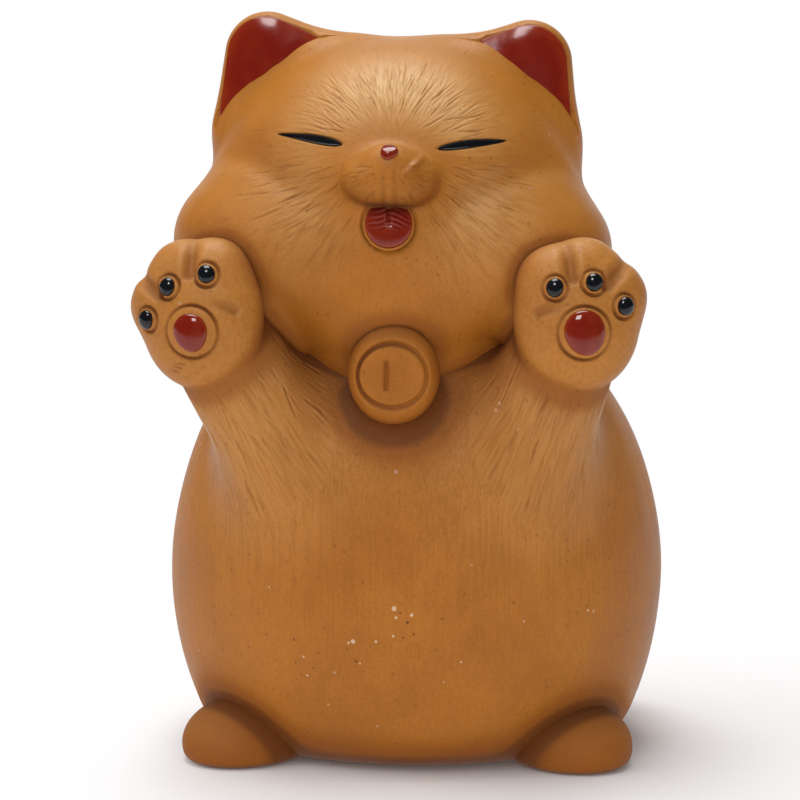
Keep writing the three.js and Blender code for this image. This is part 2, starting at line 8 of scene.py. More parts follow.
import bpy
import numpy as np
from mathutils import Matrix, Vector

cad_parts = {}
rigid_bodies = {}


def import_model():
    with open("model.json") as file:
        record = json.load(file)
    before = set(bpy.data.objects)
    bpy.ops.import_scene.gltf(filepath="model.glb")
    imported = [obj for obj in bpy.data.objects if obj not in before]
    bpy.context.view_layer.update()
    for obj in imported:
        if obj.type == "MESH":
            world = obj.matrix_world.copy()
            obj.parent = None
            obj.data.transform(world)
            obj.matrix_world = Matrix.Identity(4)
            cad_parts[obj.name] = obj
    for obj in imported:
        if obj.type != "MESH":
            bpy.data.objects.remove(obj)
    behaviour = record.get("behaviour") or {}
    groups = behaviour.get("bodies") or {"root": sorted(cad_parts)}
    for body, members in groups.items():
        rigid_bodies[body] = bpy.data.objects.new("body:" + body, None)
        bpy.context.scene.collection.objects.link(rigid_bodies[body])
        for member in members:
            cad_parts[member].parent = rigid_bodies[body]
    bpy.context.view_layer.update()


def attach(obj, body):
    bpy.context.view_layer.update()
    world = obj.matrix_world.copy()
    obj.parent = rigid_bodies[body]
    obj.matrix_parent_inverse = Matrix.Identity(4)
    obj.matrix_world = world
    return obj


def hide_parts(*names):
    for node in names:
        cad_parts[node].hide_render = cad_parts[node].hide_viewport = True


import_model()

MM = 0.001


# Table and light
# The figure stands on white paper in a white room, under a wide softbox. A weaker one lights its right
# side, a fill lights its front, and a window shows in gloss only. The camera has a long lens and looks
# from a little above and a little to the figure's left.
PHOTO_SIDE = 800  # pixels
FOCAL_PIXELS = 3450
MIDDLE_PIXEL = (416, 405)  # where the figure's middle lies in the photograph
FIGURE_MIDDLE = np.array([0.8, 0.2, 46.5])
CAMERA_TURN = np.radians(4)
CAMERA_RISE = np.radians(8)
CAMERA_REACH = 480
SENSOR = 36

backward = np.array(
    [
        np.sin(CAMERA_TURN) * np.cos(CAMERA_RISE),
        -np.cos(CAMERA_TURN) * np.cos(CAMERA_RISE),
        np.sin(CAMERA_RISE),
    ]
)
rightward = np.array([np.cos(CAMERA_TURN), np.sin(CAMERA_TURN), 0])
upward = np.cross(backward, rightward)
pixel = CAMERA_REACH / FOCAL_PIXELS
aim = FIGURE_MIDDLE - rightward * pixel * (MIDDLE_PIXEL[0] - PHOTO_SIDE / 2)
aim = aim + upward * pixel * (MIDDLE_PIXEL[1] - PHOTO_SIDE / 2)
eye = FIGURE_MIDDLE + backward * CAMERA_REACH

camera_data = bpy.data.cameras.new("camera")
camera_data.sensor_width = SENSOR
camera_data.lens = SENSOR * FOCAL_PIXELS / PHOTO_SIDE
camera_data.clip_start = 0.02
camera = bpy.data.objects.new("camera", camera_data)
bpy.context.scene.collection.objects.link(camera)
camera.location = Vector(eye * MM)
camera.rotation_euler = Vector(aim - eye).to_track_quat("-Z", "Y").to_euler()
bpy.context.scene.camera = camera
bpy.context.scene.view_settings.view_transform = "Standard"


def node(tree, kind, sockets=None, **settings):
    """Add a shader node: a socket's value is linked if it is another node's output, and set if not."""
    made = tree.nodes.new("ShaderNode" + kind)
    for name, value in settings.items():
        setattr(made, name, value)
    for key, value in (sockets or {}).items():
        if isinstance(value, bpy.types.NodeSocket):
            tree.links.new(value, made.inputs[key])
        else:
            made.inputs[key].default_value = value
    return made


def ranged(tree, value, low, high, to_low=0.0, to_high=1.0):
    """Smooth step: value from low to high becomes to_low to to_high."""
    sockets = {0: value, 1: low, 2: high, 3: to_low, 4: to_high}
    return node(tree, "MapRange", sockets, interpolation_type="SMOOTHSTEP").outputs[0]


def sums(tree, operation, one, other):
    """Arithmetic of two values: their sum, product or quotient, or the greater or lesser of them."""
    return node(tree, "Math", {0: one, 1: other}, operation=operation).outputs[0]


def mixed(tree, share, one, other):
    """Colour that goes from one to the other as share goes from 0 to 1."""
    return node(tree, "Mix", {0: share, 6: one, 7: other}, data_type="RGBA").outputs[2]


def seen_directly(tree):
    """One for rays from the camera, off gloss or through glass, which see the backdrop itself."""
    path = node(tree, "LightPath").outputs
    seen = sums(tree, "MAXIMUM", path["Is Camera Ray"], path["Is Glossy Ray"])
    return sums(tree, "MAXIMUM", seen, path["Is Transmission Ray"])


ROOM_LEFT = (0.50, 0.50, 0.51, 1)
ROOM_RIGHT = (0.38, 0.38, 0.39, 1)
ROOM_FRONT = (0.05, 0.052, 0.056, 1)  # the unlit side of the room, behind the camera
WHITE = (1, 1, 1, 1)
BACKDROP_EDGE = (0.60, 0.96)  # how far back a ray looks where the backdrop begins and where it is full

world = bpy.data.worlds.new("white_room")
world.use_nodes = True
bpy.context.scene.world = world
room = world.node_tree
room.nodes.clear()
heading = node(room, "SeparateXYZ", {0: node(room, "TexCoord").outputs["Generated"]}).outputs
backdrop = mixed(room, ranged(room, heading["Y"], *BACKDROP_EDGE), ROOM_FRONT, WHITE)
room_light = mixed(room, ranged(room, heading["X"], -1.0, 1.0), ROOM_LEFT, ROOM_RIGHT)
room_colour = mixed(room, seen_directly(room), room_light, backdrop)
room_shine = node(room, "Background", {"Color": room_colour})
node(room, "OutputWorld", {"Surface": room_shine.outputs[0]})


def softbox(name, place, size, watts, mirrored=True, shines=True):
    """Square lamp at a place in metres, turned to the figure's middle. A fill is not seen in gloss, and
    a window is seen in gloss only."""
    lamp = bpy.data.lights.new(name, "AREA")
    lamp.shape = "SQUARE"
    lamp.size = size
    lamp.energy = watts
    stand = bpy.data.objects.new(name, lamp)
    bpy.context.scene.collection.objects.link(stand)
    stand.location = place
    stand.rotation_euler = (Vector(FIGURE_MIDDLE * MM) - stand.location).to_track_quat("-Z", "Y").to_euler()
    stand.visible_glossy = mirrored
    stand.visible_diffuse = shines


LAMP_SIDE = 0.42
WINDOW_SIDE = 0.20
softbox("softbox_overhead", Vector((-0.05, 0.12, 0.68)), LAMP_SIDE, 3.4)
softbox("softbox_side", Vector((-0.46, -0.10, 0.42)), LAMP_SIDE, 0.9, mirrored=False)
softbox("softbox_fill", Vector((0.08, -0.62, 0.02)), LAMP_SIDE, 2.3, mirrored=False)
softbox("window", Vector((-0.06, -0.45, 0.54)), WINDOW_SIDE, 1.3, shines=False)


def blank_material(name):
    """A material whose node tree is empty, and that tree."""
    material = bpy.data.materials.new(name)
    material.use_nodes = True
    material.node_tree.nodes.clear()
    return material, material.node_tree


FLOOR_SIDE = 40.0
FLOOR_DROP = 0.00005  # the paper lies a hair below the standing face
PAPER = (0.86, 0.855, 0.85, 1)
SHADOW_ROUND = (0.05, 0.18)  # metres from the figure where its shadow begins to fade and where it ends
SHADOW_ACROSS = (-0.024, -0.046)  # the same towards the lit side
PAPER_AHEAD = (-0.30, -0.06)  # gloss shows the unlit room before the first and the paper after the second
floor_mesh = bpy.data.meshes.new("paper")
floor_corners = np.array([[-1, -1, 0], [1, -1, 0], [1, 1, 0], [-1, 1, 0]]) * FLOOR_SIDE / 2
floor_mesh.from_pydata((floor_corners - [0, 0, FLOOR_DROP]).tolist(), [], [[0, 1, 2, 3]])
floor = bpy.data.objects.new("paper", floor_mesh)
bpy.context.scene.collection.objects.link(floor)

paper, sheet = blank_material("white_paper")
sheet_spot = node(sheet, "TexCoord").outputs["Object"]
sheet_place = node(sheet, "SeparateXYZ", {0: sheet_spot}).outputs
away = node(sheet, "VectorMath", {0: sheet_spot}, operation="LENGTH").outputs["Value"]
off_gloss = node(sheet, "LightPath").outputs["Is Glossy Ray"]
lit = ranged(sheet, away, *SHADOW_ROUND)
lit = sums(sheet, "MAXIMUM", lit, ranged(sheet, sheet_place["X"], *SHADOW_ACROSS))
lit = sums(sheet, "MAXIMUM", lit, off_gloss)
glow_share = sums(sheet, "MULTIPLY", lit, seen_directly(sheet))
matt = node(sheet, "BsdfDiffuse", {"Color": PAPER}).outputs[0]
sheet_front = mixed(sheet, ranged(sheet, sheet_place["Y"], *PAPER_AHEAD), ROOM_FRONT, PAPER)
sheet_white = mixed(sheet, off_gloss, WHITE, sheet_front)
glow = node(sheet, "Emission", {"Color": sheet_white, "Strength": 1.0}).outputs[0]
paper_face = node(sheet, "MixShader", {0: glow_share, 1: matt, 2: glow})
node(sheet, "OutputMaterial", {"Surface": paper_face.outputs[0]})
floor_mesh.materials.append(paper)


# Body and arms
# A hollow egg of clay, cut flat below, with two tapered arms luted to its chest and rubbed
# smooth into it. The belly was drawn down with a wet brush and the arms scored with a needle.
BODY_CENTRE = np.array([0.8, 0.8, 23.5])
BODY_RADII = np.array([34.2, 29.0, 41.0])
BODY_WALL = 4.5
SHOULDER_ACROSS = 17.0
SHOULDER_RISE = 18.5
SHOULDER_SINK = 5.5
SHOULDER_RADIUS = 9.0
WRIST_STEP = np.array([8.2, -3.2, 16.6])  # outwards, back and up from the shoulder
WRIST_ASIDE = -1.75
WRIST_RADIUS = 7.2
ARM_FILLET = 6.0
THUMB_WAVE = 0.05  # height of the waves that thumbs leave
FAR = 90.0
SIDES = {"left": 1, "right": -1}

FORWARD = np.array([0.0, -1.0, 0.0])
UP = np.array([0.0, 0.0, 1.0])
ACROSS = np.array([1.0, 0.0, 0.0])
chance = np.random.default_rng(11)


def length_of(v):
    return np.linalg.norm(v, axis=-1, keepdims=True)


def unit(v):
    return v / length_of(v)


def clamped(x):
    """Held between 0 and 1."""
    return np.clip(x, 0, 1)


def hump(x, width, power=2):
    """Bell curve: one over e to an even power of x over the width, so one at zero."""
    return np.exp(-((x / width) ** power))


def even_turns(count):
    """Angles that go once round in even steps."""
    return np.linspace(0, 2 * np.pi, count, endpoint=False)


def circle(turns, one, other):
    """Unit circle in the plane of two axes: the cosine goes along one, the sine along the other."""
    return np.cos(turns)[:, None] * one + np.sin(turns)[:, None] * other


def turned(axis, degrees):
    """Matrix of a turn about one of the axes 0, 1, 2: the other two go round it by sine and cosine."""
    one, other = [(1, 2), (2, 0), (0, 1)][axis]
    turn = np.eye(3)
    angle = np.radians(degrees)
    turn[one, one] = turn[other, other] = np.cos(angle)
    turn[one, other] = -np.sin(angle)
    turn[other, one] = np.sin(angle)
    return turn


def ellipsoid(centre, radii, turn=np.eye(3)):
    """Distance to an ellipsoid: reach over slope, where reach is the length in units of the radii."""
    radii = np.asarray(radii, float)

    def form(p):
        share = (p - centre) @ turn / radii
        reach = np.linalg.norm(share, axis=-1)
        slope = np.linalg.norm(share / radii, axis=-1)
        return reach * (reach - 1) / np.maximum(slope, 1e-9)

    return form


def limb(start, end, start_radius, end_radius):
    """Distance to a tapered rod: from the nearest point of its line, less the radius there."""
    run = end - start

    def form(p):
        along = clamped((p - start) @ run / (run @ run))
        gap = np.linalg.norm(p - start - along[..., None] * run, axis=-1)
        return gap - start_radius - (end_radius - start_radius) * along

    return form


def joined(one, other, size):
    """Smooth union: the lesser distance, less a fillet that is a parabola of their difference."""

    def form(p):
        a = one(p)
        b = other(p)
        overlap = np.maximum(size - np.abs(a - b), 0)
        return np.minimum(a, b) - overlap * overlap / (4 * size)

    return form


def luted(own, other, size):
    """One piece's share of a smooth union. The fillet grows as a parabola up to the seam and goes on
    into the other piece as the mirrored parabola, so both pieces pass the seam at the same slope.
    The size may be a form too, where the fillet changes from place to place."""

    def form(p):
        a = own(p)
        reach = size(p) if callable(size) else size
        into = np.clip((a - other(p)) / reach, -1, 1)
        rise = np.where(into < 0, (1 + into) ** 2, 2 - (1 - into) ** 2)
        return a - rise * reach / 4

    return form


def kept(form, cutter, size):
    """What is left of a form when the cutter is taken away, with the edge rounded as a parabola."""

    def rest(p):
        a = form(p)
        b = -cutter(p)
        overlap = np.maximum(size - np.abs(a - b), 0)
        return np.maximum(a, b) + overlap * overlap / (4 * size)

    return rest


def nearest(*forms):
    return lambda p: np.minimum.reduce([form(p) for form in forms])


def landing(form, start, direction):
    """Where rays meet a form: each step goes on by most of the distance that is left."""
    p = np.array(start, float)
    for _ in range(80):
        p = p + direction * (0.8 * form(p))[..., None]
    return p


def facing(form, p):
    """Outward normal: the slope of the distance, by central differences."""
    reach = 0.02
    steps = np.eye(3) * reach
    return unit(np.stack([form(p + step) - form(p - step) for step in steps], axis=-1))


def polar_rays(pole, side, rows, around):
    """Unit rays by angle from the pole, one row each, and by turn about it, from side counter-clockwise."""
    ring = circle(even_turns(around), side, np.cross(pole, side))
    return np.cos(rows)[:, None, None] * pole + np.sin(rows)[:, None, None] * ring


def moulded(form, centre, rays):
    """Push each ray out from the centre until it meets the form, halving the doubt each time."""
    inside = np.zeros(rays.shape[:-1])
    outside = np.full(rays.shape[:-1], FAR)
    for _ in range(26):
        middle = (inside + outside) / 2
        within = form(centre + rays * middle[..., None]) < 0
        inside = np.where(within, middle, inside)
        outside = np.where(within, outside, middle)
    return centre + rays * inside[..., None]


def thumbed(form):
    """A form with the slow waves that thumbs leave: a sum of three crossed sines."""

    def soft(p):
        x, y, z = p[..., 0], p[..., 1], p[..., 2]
        waves = np.sin(x / 2.9 + 1.3) * np.sin(z / 3.7 + y / 5.1)
        waves = waves + np.sin(x / 5.3 - z / 4.1 + 0.7) * np.sin(y / 3.3 + 2.1)
        waves = waves + np.sin((x + y) / 6.7 + 0.4) * np.sin(z / 6.1 - 0.9)
        return form(p) - THUMB_WAVE * waves

    return soft


def skin(name, rows, attributes=None, closed=False):
    """Mesh of a grid of points. Each row is a ring. The first and last rows are single points, unless
    closed says that the last row joins the first. Faces are turned outwards by the signed volume."""
    count, around = rows.shape[:2]
    index = np.arange(count * around).reshape(count, around)
    used = np.ones(count * around, bool)
    if closed:
        index = np.vstack([index, index[:1]])
    else:
        index[0] = index[0, 0]
        index[-1] = index[-1, 0]
        used[1:around] = False
        used[-around + 1 :] = False
    renumbered = np.cumsum(used) - 1
    index = renumbered[index]
    points = rows.reshape(-1, 3)[used] * MM
    upper = index[:-1]
    lower = index[1:]
    quads = np.stack([upper, lower, np.roll(lower, -1, 1), np.roll(upper, -1, 1)], axis=-1)
    faces = [quads.reshape(-1, 4)]
    if not closed:
        faces = [quads[0][:, :3], quads[1:-1].reshape(-1, 4), quads[-1][:, [0, 1, 3]]]
    fans = [np.concatenate([f[:, [0, 1, 2]], f[:, [0, 2, 3]]]) if f.shape[1] == 4 else f for f in faces]
    corners = points[np.concatenate(fans)]
    volume = np.sum(corners[:, 0] * np.cross(corners[:, 1], corners[:, 2]))
    if volume < 0:
        faces = [f[:, ::-1] for f in faces]
    sizes = np.concatenate([np.full(len(f), f.shape[1]) for f in faces])
    loops = np.concatenate([f.ravel() for f in faces])
    mesh = bpy.data.meshes.new(name)
    mesh.vertices.add(len(points))
    mesh.vertices.foreach_set("co", points.ravel().astype(np.float32))
    mesh.loops.add(len(loops))
    mesh.loops.foreach_set("vertex_index", loops.astype(np.int32))
    mesh.polygons.add(len(sizes))
    mesh.polygons.foreach_set("loop_start", (np.cumsum(sizes) - sizes).astype(np.int32))
    mesh.polygons.foreach_set("use_smooth", np.ones(len(sizes), bool))
    for key, values in (attributes or {}).items():
        flat = values.reshape(count * around, -1)[used]
        kind = "FLOAT_VECTOR" if flat.shape[1] == 3 else "FLOAT"
        field = "vector" if flat.shape[1] == 3 else "value"
        layer = mesh.attributes.new(key, kind, "POINT")
        layer.data.foreach_set(field, flat.ravel().astype(np.float32))
    mesh.update(calc_edges=True)
    mesh.validate()
    piece = bpy.data.objects.new(name, mesh)
    bpy.context.scene.collection.objects.link(piece)
    return piece


def set_in_place(piece, material, cad_node):
    """Give a piece its finish and let it stand for its CAD node on the figure's one body."""
    piece.data.materials.append(material)
    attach(piece, "root")
    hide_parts(cad_node)


# Small chips low on the belly: across, up and half width of each. The fresh ones show pale grog.
PALE_CHIPS = [
    (-0.1, 23.3, 0.46),
    (0.15, 22.1, 0.29),
    (2.2, 22.5, 0.33),
    (-0.25, 19.6, 0.24),
    (-2.5, 18.8, 0.26),
    (-5.6, 18.7, 0.45),
    (-6.2, 18.5, 0.30),
    (-4.7, 15.7, 0.20),
    (-12.4, 16.1, 0.26),
    (-11.9, 13.5, 0.24),
    (8.7, 16.0, 0.20),
    (16.9, 21.2, 0.20),
    (25.3, 21.7, 0.26),
]
DARK_CHIPS = [
    (1.7, 21.5, 0.34),
    (2.5, 19.9, 0.27),
    (1.1, 19.4, 0.24),
    (0.7, 22.8, 0.26),
    (-5.2, 16.0, 0.34),
    (-6.4, 17.6, 0.26),
    (-13.7, 18.3, 0.26),
    (-13.5, 15.2, 0.24),
    (-11.1, 14.7, 0.26),
    (-10.3, 16.8, 0.22),
    (-12.7, 13.6, 0.24),
    (15.6, 23.8, 0.26),
    (6.2, 22.0, 0.24),
]


CHIP_SIZE = 0.8  # the worn share of each half width
CHIP_EDGE = (1.2, 1.5)  # whole within the first of these half widths, gone beyond the second


def chipped(tree, place, ragged, chips):
    """One inside any of the chips: nearer to its spot on the egg's front than its half width, with a
    ragged edge. The front's depth is the root of what the two other shares leave of one."""
    nearest_chip = FAR
    for across, rise, half in chips:
        shares = (np.array([across, rise]) - BODY_CENTRE[[0, 2]]) / BODY_RADII[[0, 2]]
        depth = BODY_CENTRE[1] - BODY_RADII[1] * np.sqrt(1 - shares @ shares)
        spot = np.array([across, depth, rise]) * MM
        away = node(tree, "VectorMath", {0: place, 1: spot}, operation="DISTANCE").outputs["Value"]
        away = sums(tree, "DIVIDE", away, CHIP_SIZE * half * MM)
        nearest_chip = sums(tree, "MINIMUM", away, nearest_chip)
    return ranged(tree, sums(tree, "ADD", nearest_chip, ragged), *CHIP_EDGE, 1.0, 0.0)


def noise(tree, place, scale, detail, roughness=0.5):
    """Clouds of noise at a place, about one half."""
    sockets = {"Vector": place, "Scale": scale, "Detail": detail, "Roughness": roughness}
    return node(tree, "TexNoise", sockets).outputs[0]


def carried(tree, name):
    """A value that a mesh carries at its points, or 0 where it has none."""
    return node(tree, "Attribute", attribute_name=name).outputs["Fac"]


def clay_finish():
    """Burnished ochre clay: two tones in slow clouds, fine dark and pale grains, brush lines that follow
    the comb attribute, a pale dusting in the scored fur that on the brow and cheeks also stands for a
    painted sheen, dark grooves where a tool went in, a painted top light where the clay looks up, and
    painted shade where an attribute carries it."""
    light_tone = (0.445, 0.156, 0.015, 1)
    dark_tone = (0.375, 0.124, 0.011, 1)
    grain_and_painted_shade_tone = (0.22, 0.056, 0.005, 1)
    painted_top_light_tone = (0.50, 0.225, 0.036, 1)
    groove_tone = (0.125, 0.033, 0.0055, 1)
    pale_grain = (0.68, 0.50, 0.34, 1)
    dust_and_sheen_tone = (0.62, 0.365, 0.14, 1)
    material, tree = blank_material("ochre_clay")
    place = node(tree, "TexCoord").outputs["Object"]
    comb = node(tree, "Attribute", attribute_name="comb").outputs["Vector"]
    comb_depth = carried(tree, "comb_depth")
    shelter = carried(tree, "shelter")
    clouds = noise(tree, place, 75, 4, 0.6)
    grain = noise(tree, place, 3200, 3, 0.65)
    lines = noise(tree, comb, 1, 3, 0.6)
    ragged = noise(tree, place, 2400, 2)
    specks = node(tree, "TexVoronoi", {"Vector": place, "Scale": 750}).outputs
    speck_kind = node(tree, "SeparateColor", {0: specks["Color"]}).outputs
    speck = ranged(tree, specks["Distance"], 0.10, 0.24, 1.0, 0.0)
    line_shade = sums(tree, "MULTIPLY", ranged(tree, lines, 0.56, 0.36), comb_depth)
    dust_and_sheen = sums(tree, "MULTIPLY", carried(tree, "fur"), ranged(tree, lines, 0.30, 0.62, 0.40, 1.0))

    # Each layer covers a share of those before it: where it lies, how well it covers, and its tone.
    layers = [
        (ranged(tree, grain, 0.42, 0.78), 0.42, grain_and_painted_shade_tone),
        (line_shade, 0.22, groove_tone),
        # Painted top light: clay that looks up is paler and yellower.
        (carried(tree, "worn"), 0.5, painted_top_light_tone),
        # A pale dusting in the scored fur; on the brow and cheeks it also stands for a painted sheen.
        (dust_and_sheen, 1.0, dust_and_sheen_tone),
        # Painted shade: the next two layers darken the clay where it is closed in, in creases, under the
        # bell and chin and near the table.
        (ranged(tree, shelter, 0.03, 0.50), 0.58, grain_and_painted_shade_tone),
        (ranged(tree, shelter, 0.55, 1.0), 0.75, groove_tone),
        (sums(tree, "MULTIPLY", speck, ranged(tree, speck_kind[0], 0.80, 0.84)), 0.35, groove_tone),
        (sums(tree, "MULTIPLY", speck, ranged(tree, speck_kind[1], 0.985, 0.99)), 0.45, pale_grain),
        (chipped(tree, place, ragged, DARK_CHIPS), 0.75, groove_tone),
        (chipped(tree, place, ragged, PALE_CHIPS), 0.80, pale_grain),
        (carried(tree, "groove"), 0.75, groove_tone),
    ]
    base = mixed(tree, ranged(tree, clouds, 0.32, 0.68), dark_tone, light_tone)
    for share, cover, tone in layers:
        base = mixed(tree, sums(tree, "MULTIPLY", share, cover), base, tone)
    polish = ranged(tree, clouds, 0.25, 0.75, 0.34, 0.44)
    polish = sums(tree, "ADD", polish, ranged(tree, shelter, 0.02, 0.30, 0.0, 0.28))
    fine = node(tree, "Bump", {"Height": grain, "Strength": 0.7, "Distance": 0.00008})
    comb_height = sums(tree, "MULTIPLY", line_shade, -1.0)
    combed = node(
        tree,
        "Bump",
        {"Height": comb_height, "Strength": 0.8, "Distance": 0.00006, "Normal": fine.outputs[0]},
    )
    face = node(
        tree,
        "BsdfPrincipled",
        {"Base Color": base, "Roughness": polish, "Specular IOR Level": 0.26, "Normal": combed.outputs[0]},
    )
    node(tree, "OutputMaterial", {"Surface": face.outputs[0]})
    return material


clay = clay_finish()

BURR = 0.30  # a stroke's burr, as a share of its depth
BURR_PLACE = 2.1  # widths from the stroke's middle


def scored(flat, strokes):
    """Depth of needle strokes at points of a flat chart. A stroke is a slightly wavering line with a
    bell-shaped section, a low burr on both sides, a quick start and a slow end."""
    depth = np.zeros(flat.shape[:-1])
    for x, y, angle, run, width, cut in strokes:
        way = np.array([np.cos(angle), np.sin(angle)])
        offset = flat - [x, y]
        along = offset @ way / run
        waver = 0.4 * np.sin(3 * along + 9 * x)
        across = (offset[..., 1] * way[0] - offset[..., 0] * way[1]) / width + waver
        taper = clamped(along / 0.12) * clamped((1 - along) / 0.5)
        section = hump(across, 1) - BURR * hump(np.abs(across) - BURR_PLACE, 1)
        depth = depth + cut * taper * section
    return depth


def loose_strokes(count, along, across, lean, runs, widths, cuts):
    """Strokes strewn over a chart, all much the same way: start, lean, run, width and cut of each."""
    return np.stack(
        [
            chance.uniform(*along, count),
            chance.uniform(*across, count),
            chance.normal(0, lean, count),
            chance.uniform(*runs, count),
            chance.uniform(*widths, count),
            chance.uniform(*cuts, count),
        ],
        axis=-1,
    )


def above_table(form, edge):
    """A form cut off by the table's plane, with a rounded lower edge."""
    return kept(form, lambda p: p[..., 2], edge)


egg = ellipsoid(BODY_CENTRE, BODY_RADII)
body = thumbed(egg)
arms = {}
for side, sign in SIDES.items():
    chest = landing(egg, BODY_CENTRE + [sign * SHOULDER_ACROSS, -FAR, SHOULDER_RISE], -FORWARD)
    shoulder = chest - SHOULDER_SINK * facing(egg, chest)
    wrist = shoulder + WRIST_STEP * [sign, 1, 1] + [WRIST_ASIDE, 0, 0]
    arm_form = thumbed(limb(shoulder, wrist, SHOULDER_RADIUS, WRIST_RADIUS))
    arms[side] = {"shoulder": shoulder, "wrist": wrist, "form": arm_form}
both_arms = nearest(arms["left"]["form"], arms["right"]["form"])

# The paws' mitts with their toes, which the arms flow into.
PAW_RADII = (8.4, 5.8, 9.7)
PAW_OUT = {"left": 1.9, "right": 2.4}
PAW_FORWARD = 3.6
PAW_RISE = 4.7
PAW_YAW = 12.0
PAW_PITCH = 8.0
PAW_TILT = {"left": 13.0, "right": 30.0}
TOE_RADIUS = 3.5
TOE_REACH = (6.2, 7.0)
TOE_SPREAD = 50.0
TOE_FORWARD = 0.3
TOE_FILLET = {"left": 3.0, "right": 2.6}
WRIST_SEAM = 1.2
paws = {}


def in_paw(side, across, forward, rise):
    return paws[side]["centre"] + paws[side]["turn"] @ np.array([SIDES[side] * across, -forward, rise])


for side, sign in SIDES.items():
    paw_centre = arms[side]["wrist"] + [sign * PAW_OUT[side], -PAW_FORWARD, PAW_RISE]
    paw_turn = turned(2, sign * PAW_YAW) @ turned(0, -PAW_PITCH)
    leans = np.radians(PAW_TILT[side] + TOE_SPREAD * np.array([-1, 0, 1]))
    toes = [(TOE_REACH[0] * np.sin(lean), TOE_REACH[1] * np.cos(lean)) for lean in leans]
    paws[side] = {"centre": paw_centre, "turn": paw_turn, "leans": leans, "toes": toes}
    paw = ellipsoid(paw_centre, PAW_RADII, paw_turn)
    for across, rise in toes:
        toe = ellipsoid(in_paw(side, across, TOE_FORWARD, rise), (TOE_RADIUS,) * 3)
        paw = joined(paw, toe, TOE_FILLET[side])
    paws[side]["form"] = thumbed(paw)
body_skin = luted(body, both_arms, ARM_FILLET)

# The egg's outside goes from the neck vent down to the flat bottom, then in to the base plate's seat,
# and the hollow goes up again to the vent.
BODY_ROWS = 150
BODY_AROUND = 560
HOLLOW_ROWS = 18
NECK_VENT = 5.0
VENT_TAPER = 0.6  # the vent is narrower inside
BASE_RIM = 5.0
BASE_THICKNESS = 4.0
SLIP = 0.3  # width of the luted seam round the base plate
BOTTOM_EDGE = 4.5  # rounding of the bottom edge
SEAT_GAP = 1.0  # how far outside the plate the egg's outside ends
BRUSH_PASSES = 7  # rows of strokes from the neck down
BRUSH_DEPTH = 0.022
BRUSH_FADE = 6.0  # height below which the strokes fade out
EDGE_BREAK = 0.3  # the seat's edge is broken by this much
FAINT_DUST = 0.14  # dust on clay that was only rubbed

bottom_share = np.sqrt(1 - (BODY_CENTRE[2] / BODY_RADII[2]) ** 2)
plate_radii = BODY_RADII[:2] * bottom_share - BASE_RIM
vent_angle = np.arcsin(NECK_VENT / BODY_RADII[0])
bottom_angle = np.pi / 2 + np.arctan2(BODY_CENTRE[2], plate_radii[0] + SEAT_GAP)
outer_rows = np.linspace(vent_angle, bottom_angle, BODY_ROWS)
oval_rays = polar_rays(UP, ACROSS, outer_rows, BODY_AROUND) * [1, BODY_RADII[1] / BODY_RADII[0], 1]
body_outside = above_table(body_skin, BOTTOM_EDGE)
outer = moulded(body_outside, BODY_CENTRE, oval_rays)

brush = chance.normal(size=(BRUSH_PASSES, BODY_AROUND))
brush = (brush + np.roll(brush, 1, 1) + np.roll(brush, -1, 1)) / 3
brush_place = np.linspace(0, BRUSH_PASSES - 1, BODY_ROWS)
brush_low = np.minimum(brush_place.astype(int), BRUSH_PASSES - 2)
brush_share = (brush_place - brush_low)[:, None]
strokes_down = brush[brush_low] * (1 - brush_share) + brush[brush_low + 1] * brush_share
brushed = clamped(outer[..., 2] / BRUSH_FADE) * strokes_down
outer = outer + facing(body_outside, outer) * (BRUSH_DEPTH * brushed)[..., None]


def oval_ring(radii, height, around=BODY_AROUND):
    """An oval ring round the body's axis, at a height."""
    turns = even_turns(around)
    ring = np.stack([np.cos(turns) * radii[0], np.sin(turns) * radii[1]], axis=-1)
    return np.concatenate([ring + BODY_CENTRE[:2], np.full((around, 1), height)], axis=-1)


hollow_radii = BODY_RADII - BODY_WALL
hollow_low = np.arcsin((BASE_THICKNESS + SLIP - BODY_CENTRE[2]) / hollow_radii[2])
hollow_high = np.arccos((NECK_VENT - VENT_TAPER) / hollow_radii[0])
hollow_rows = [
    oval_ring(hollow_radii[:2] * np.cos(lean), BODY_CENTRE[2] + hollow_radii[2] * np.sin(lean))
    for lean in np.linspace(hollow_low, hollow_high, HOLLOW_ROWS)
]
inner = [
    oval_ring(plate_radii + SLIP + EDGE_BREAK, 0.0),
    oval_ring(plate_radii + SLIP, 0.2),
    oval_ring(plate_radii + SLIP, BASE_THICKNESS + SLIP),
]
body_rows = np.concatenate([outer, np.stack(inner + hollow_rows)])
body_comb = body_rows * [3.0, 3.0, 0.05]
body_comb_depth = np.clip(0.25 + body_rows[..., 2] / 90, 0.25, 0.7)
body_dust = FAINT_DUST * hump(both_arms(body_rows), 6)
body_piece = skin(
    "body_clay",
    body_rows,
    {"comb": body_comb, "comb_depth": body_comb_depth, "fur": body_dust},
    closed=True,
)
set_in_place(body_piece, clay, "body_shell")

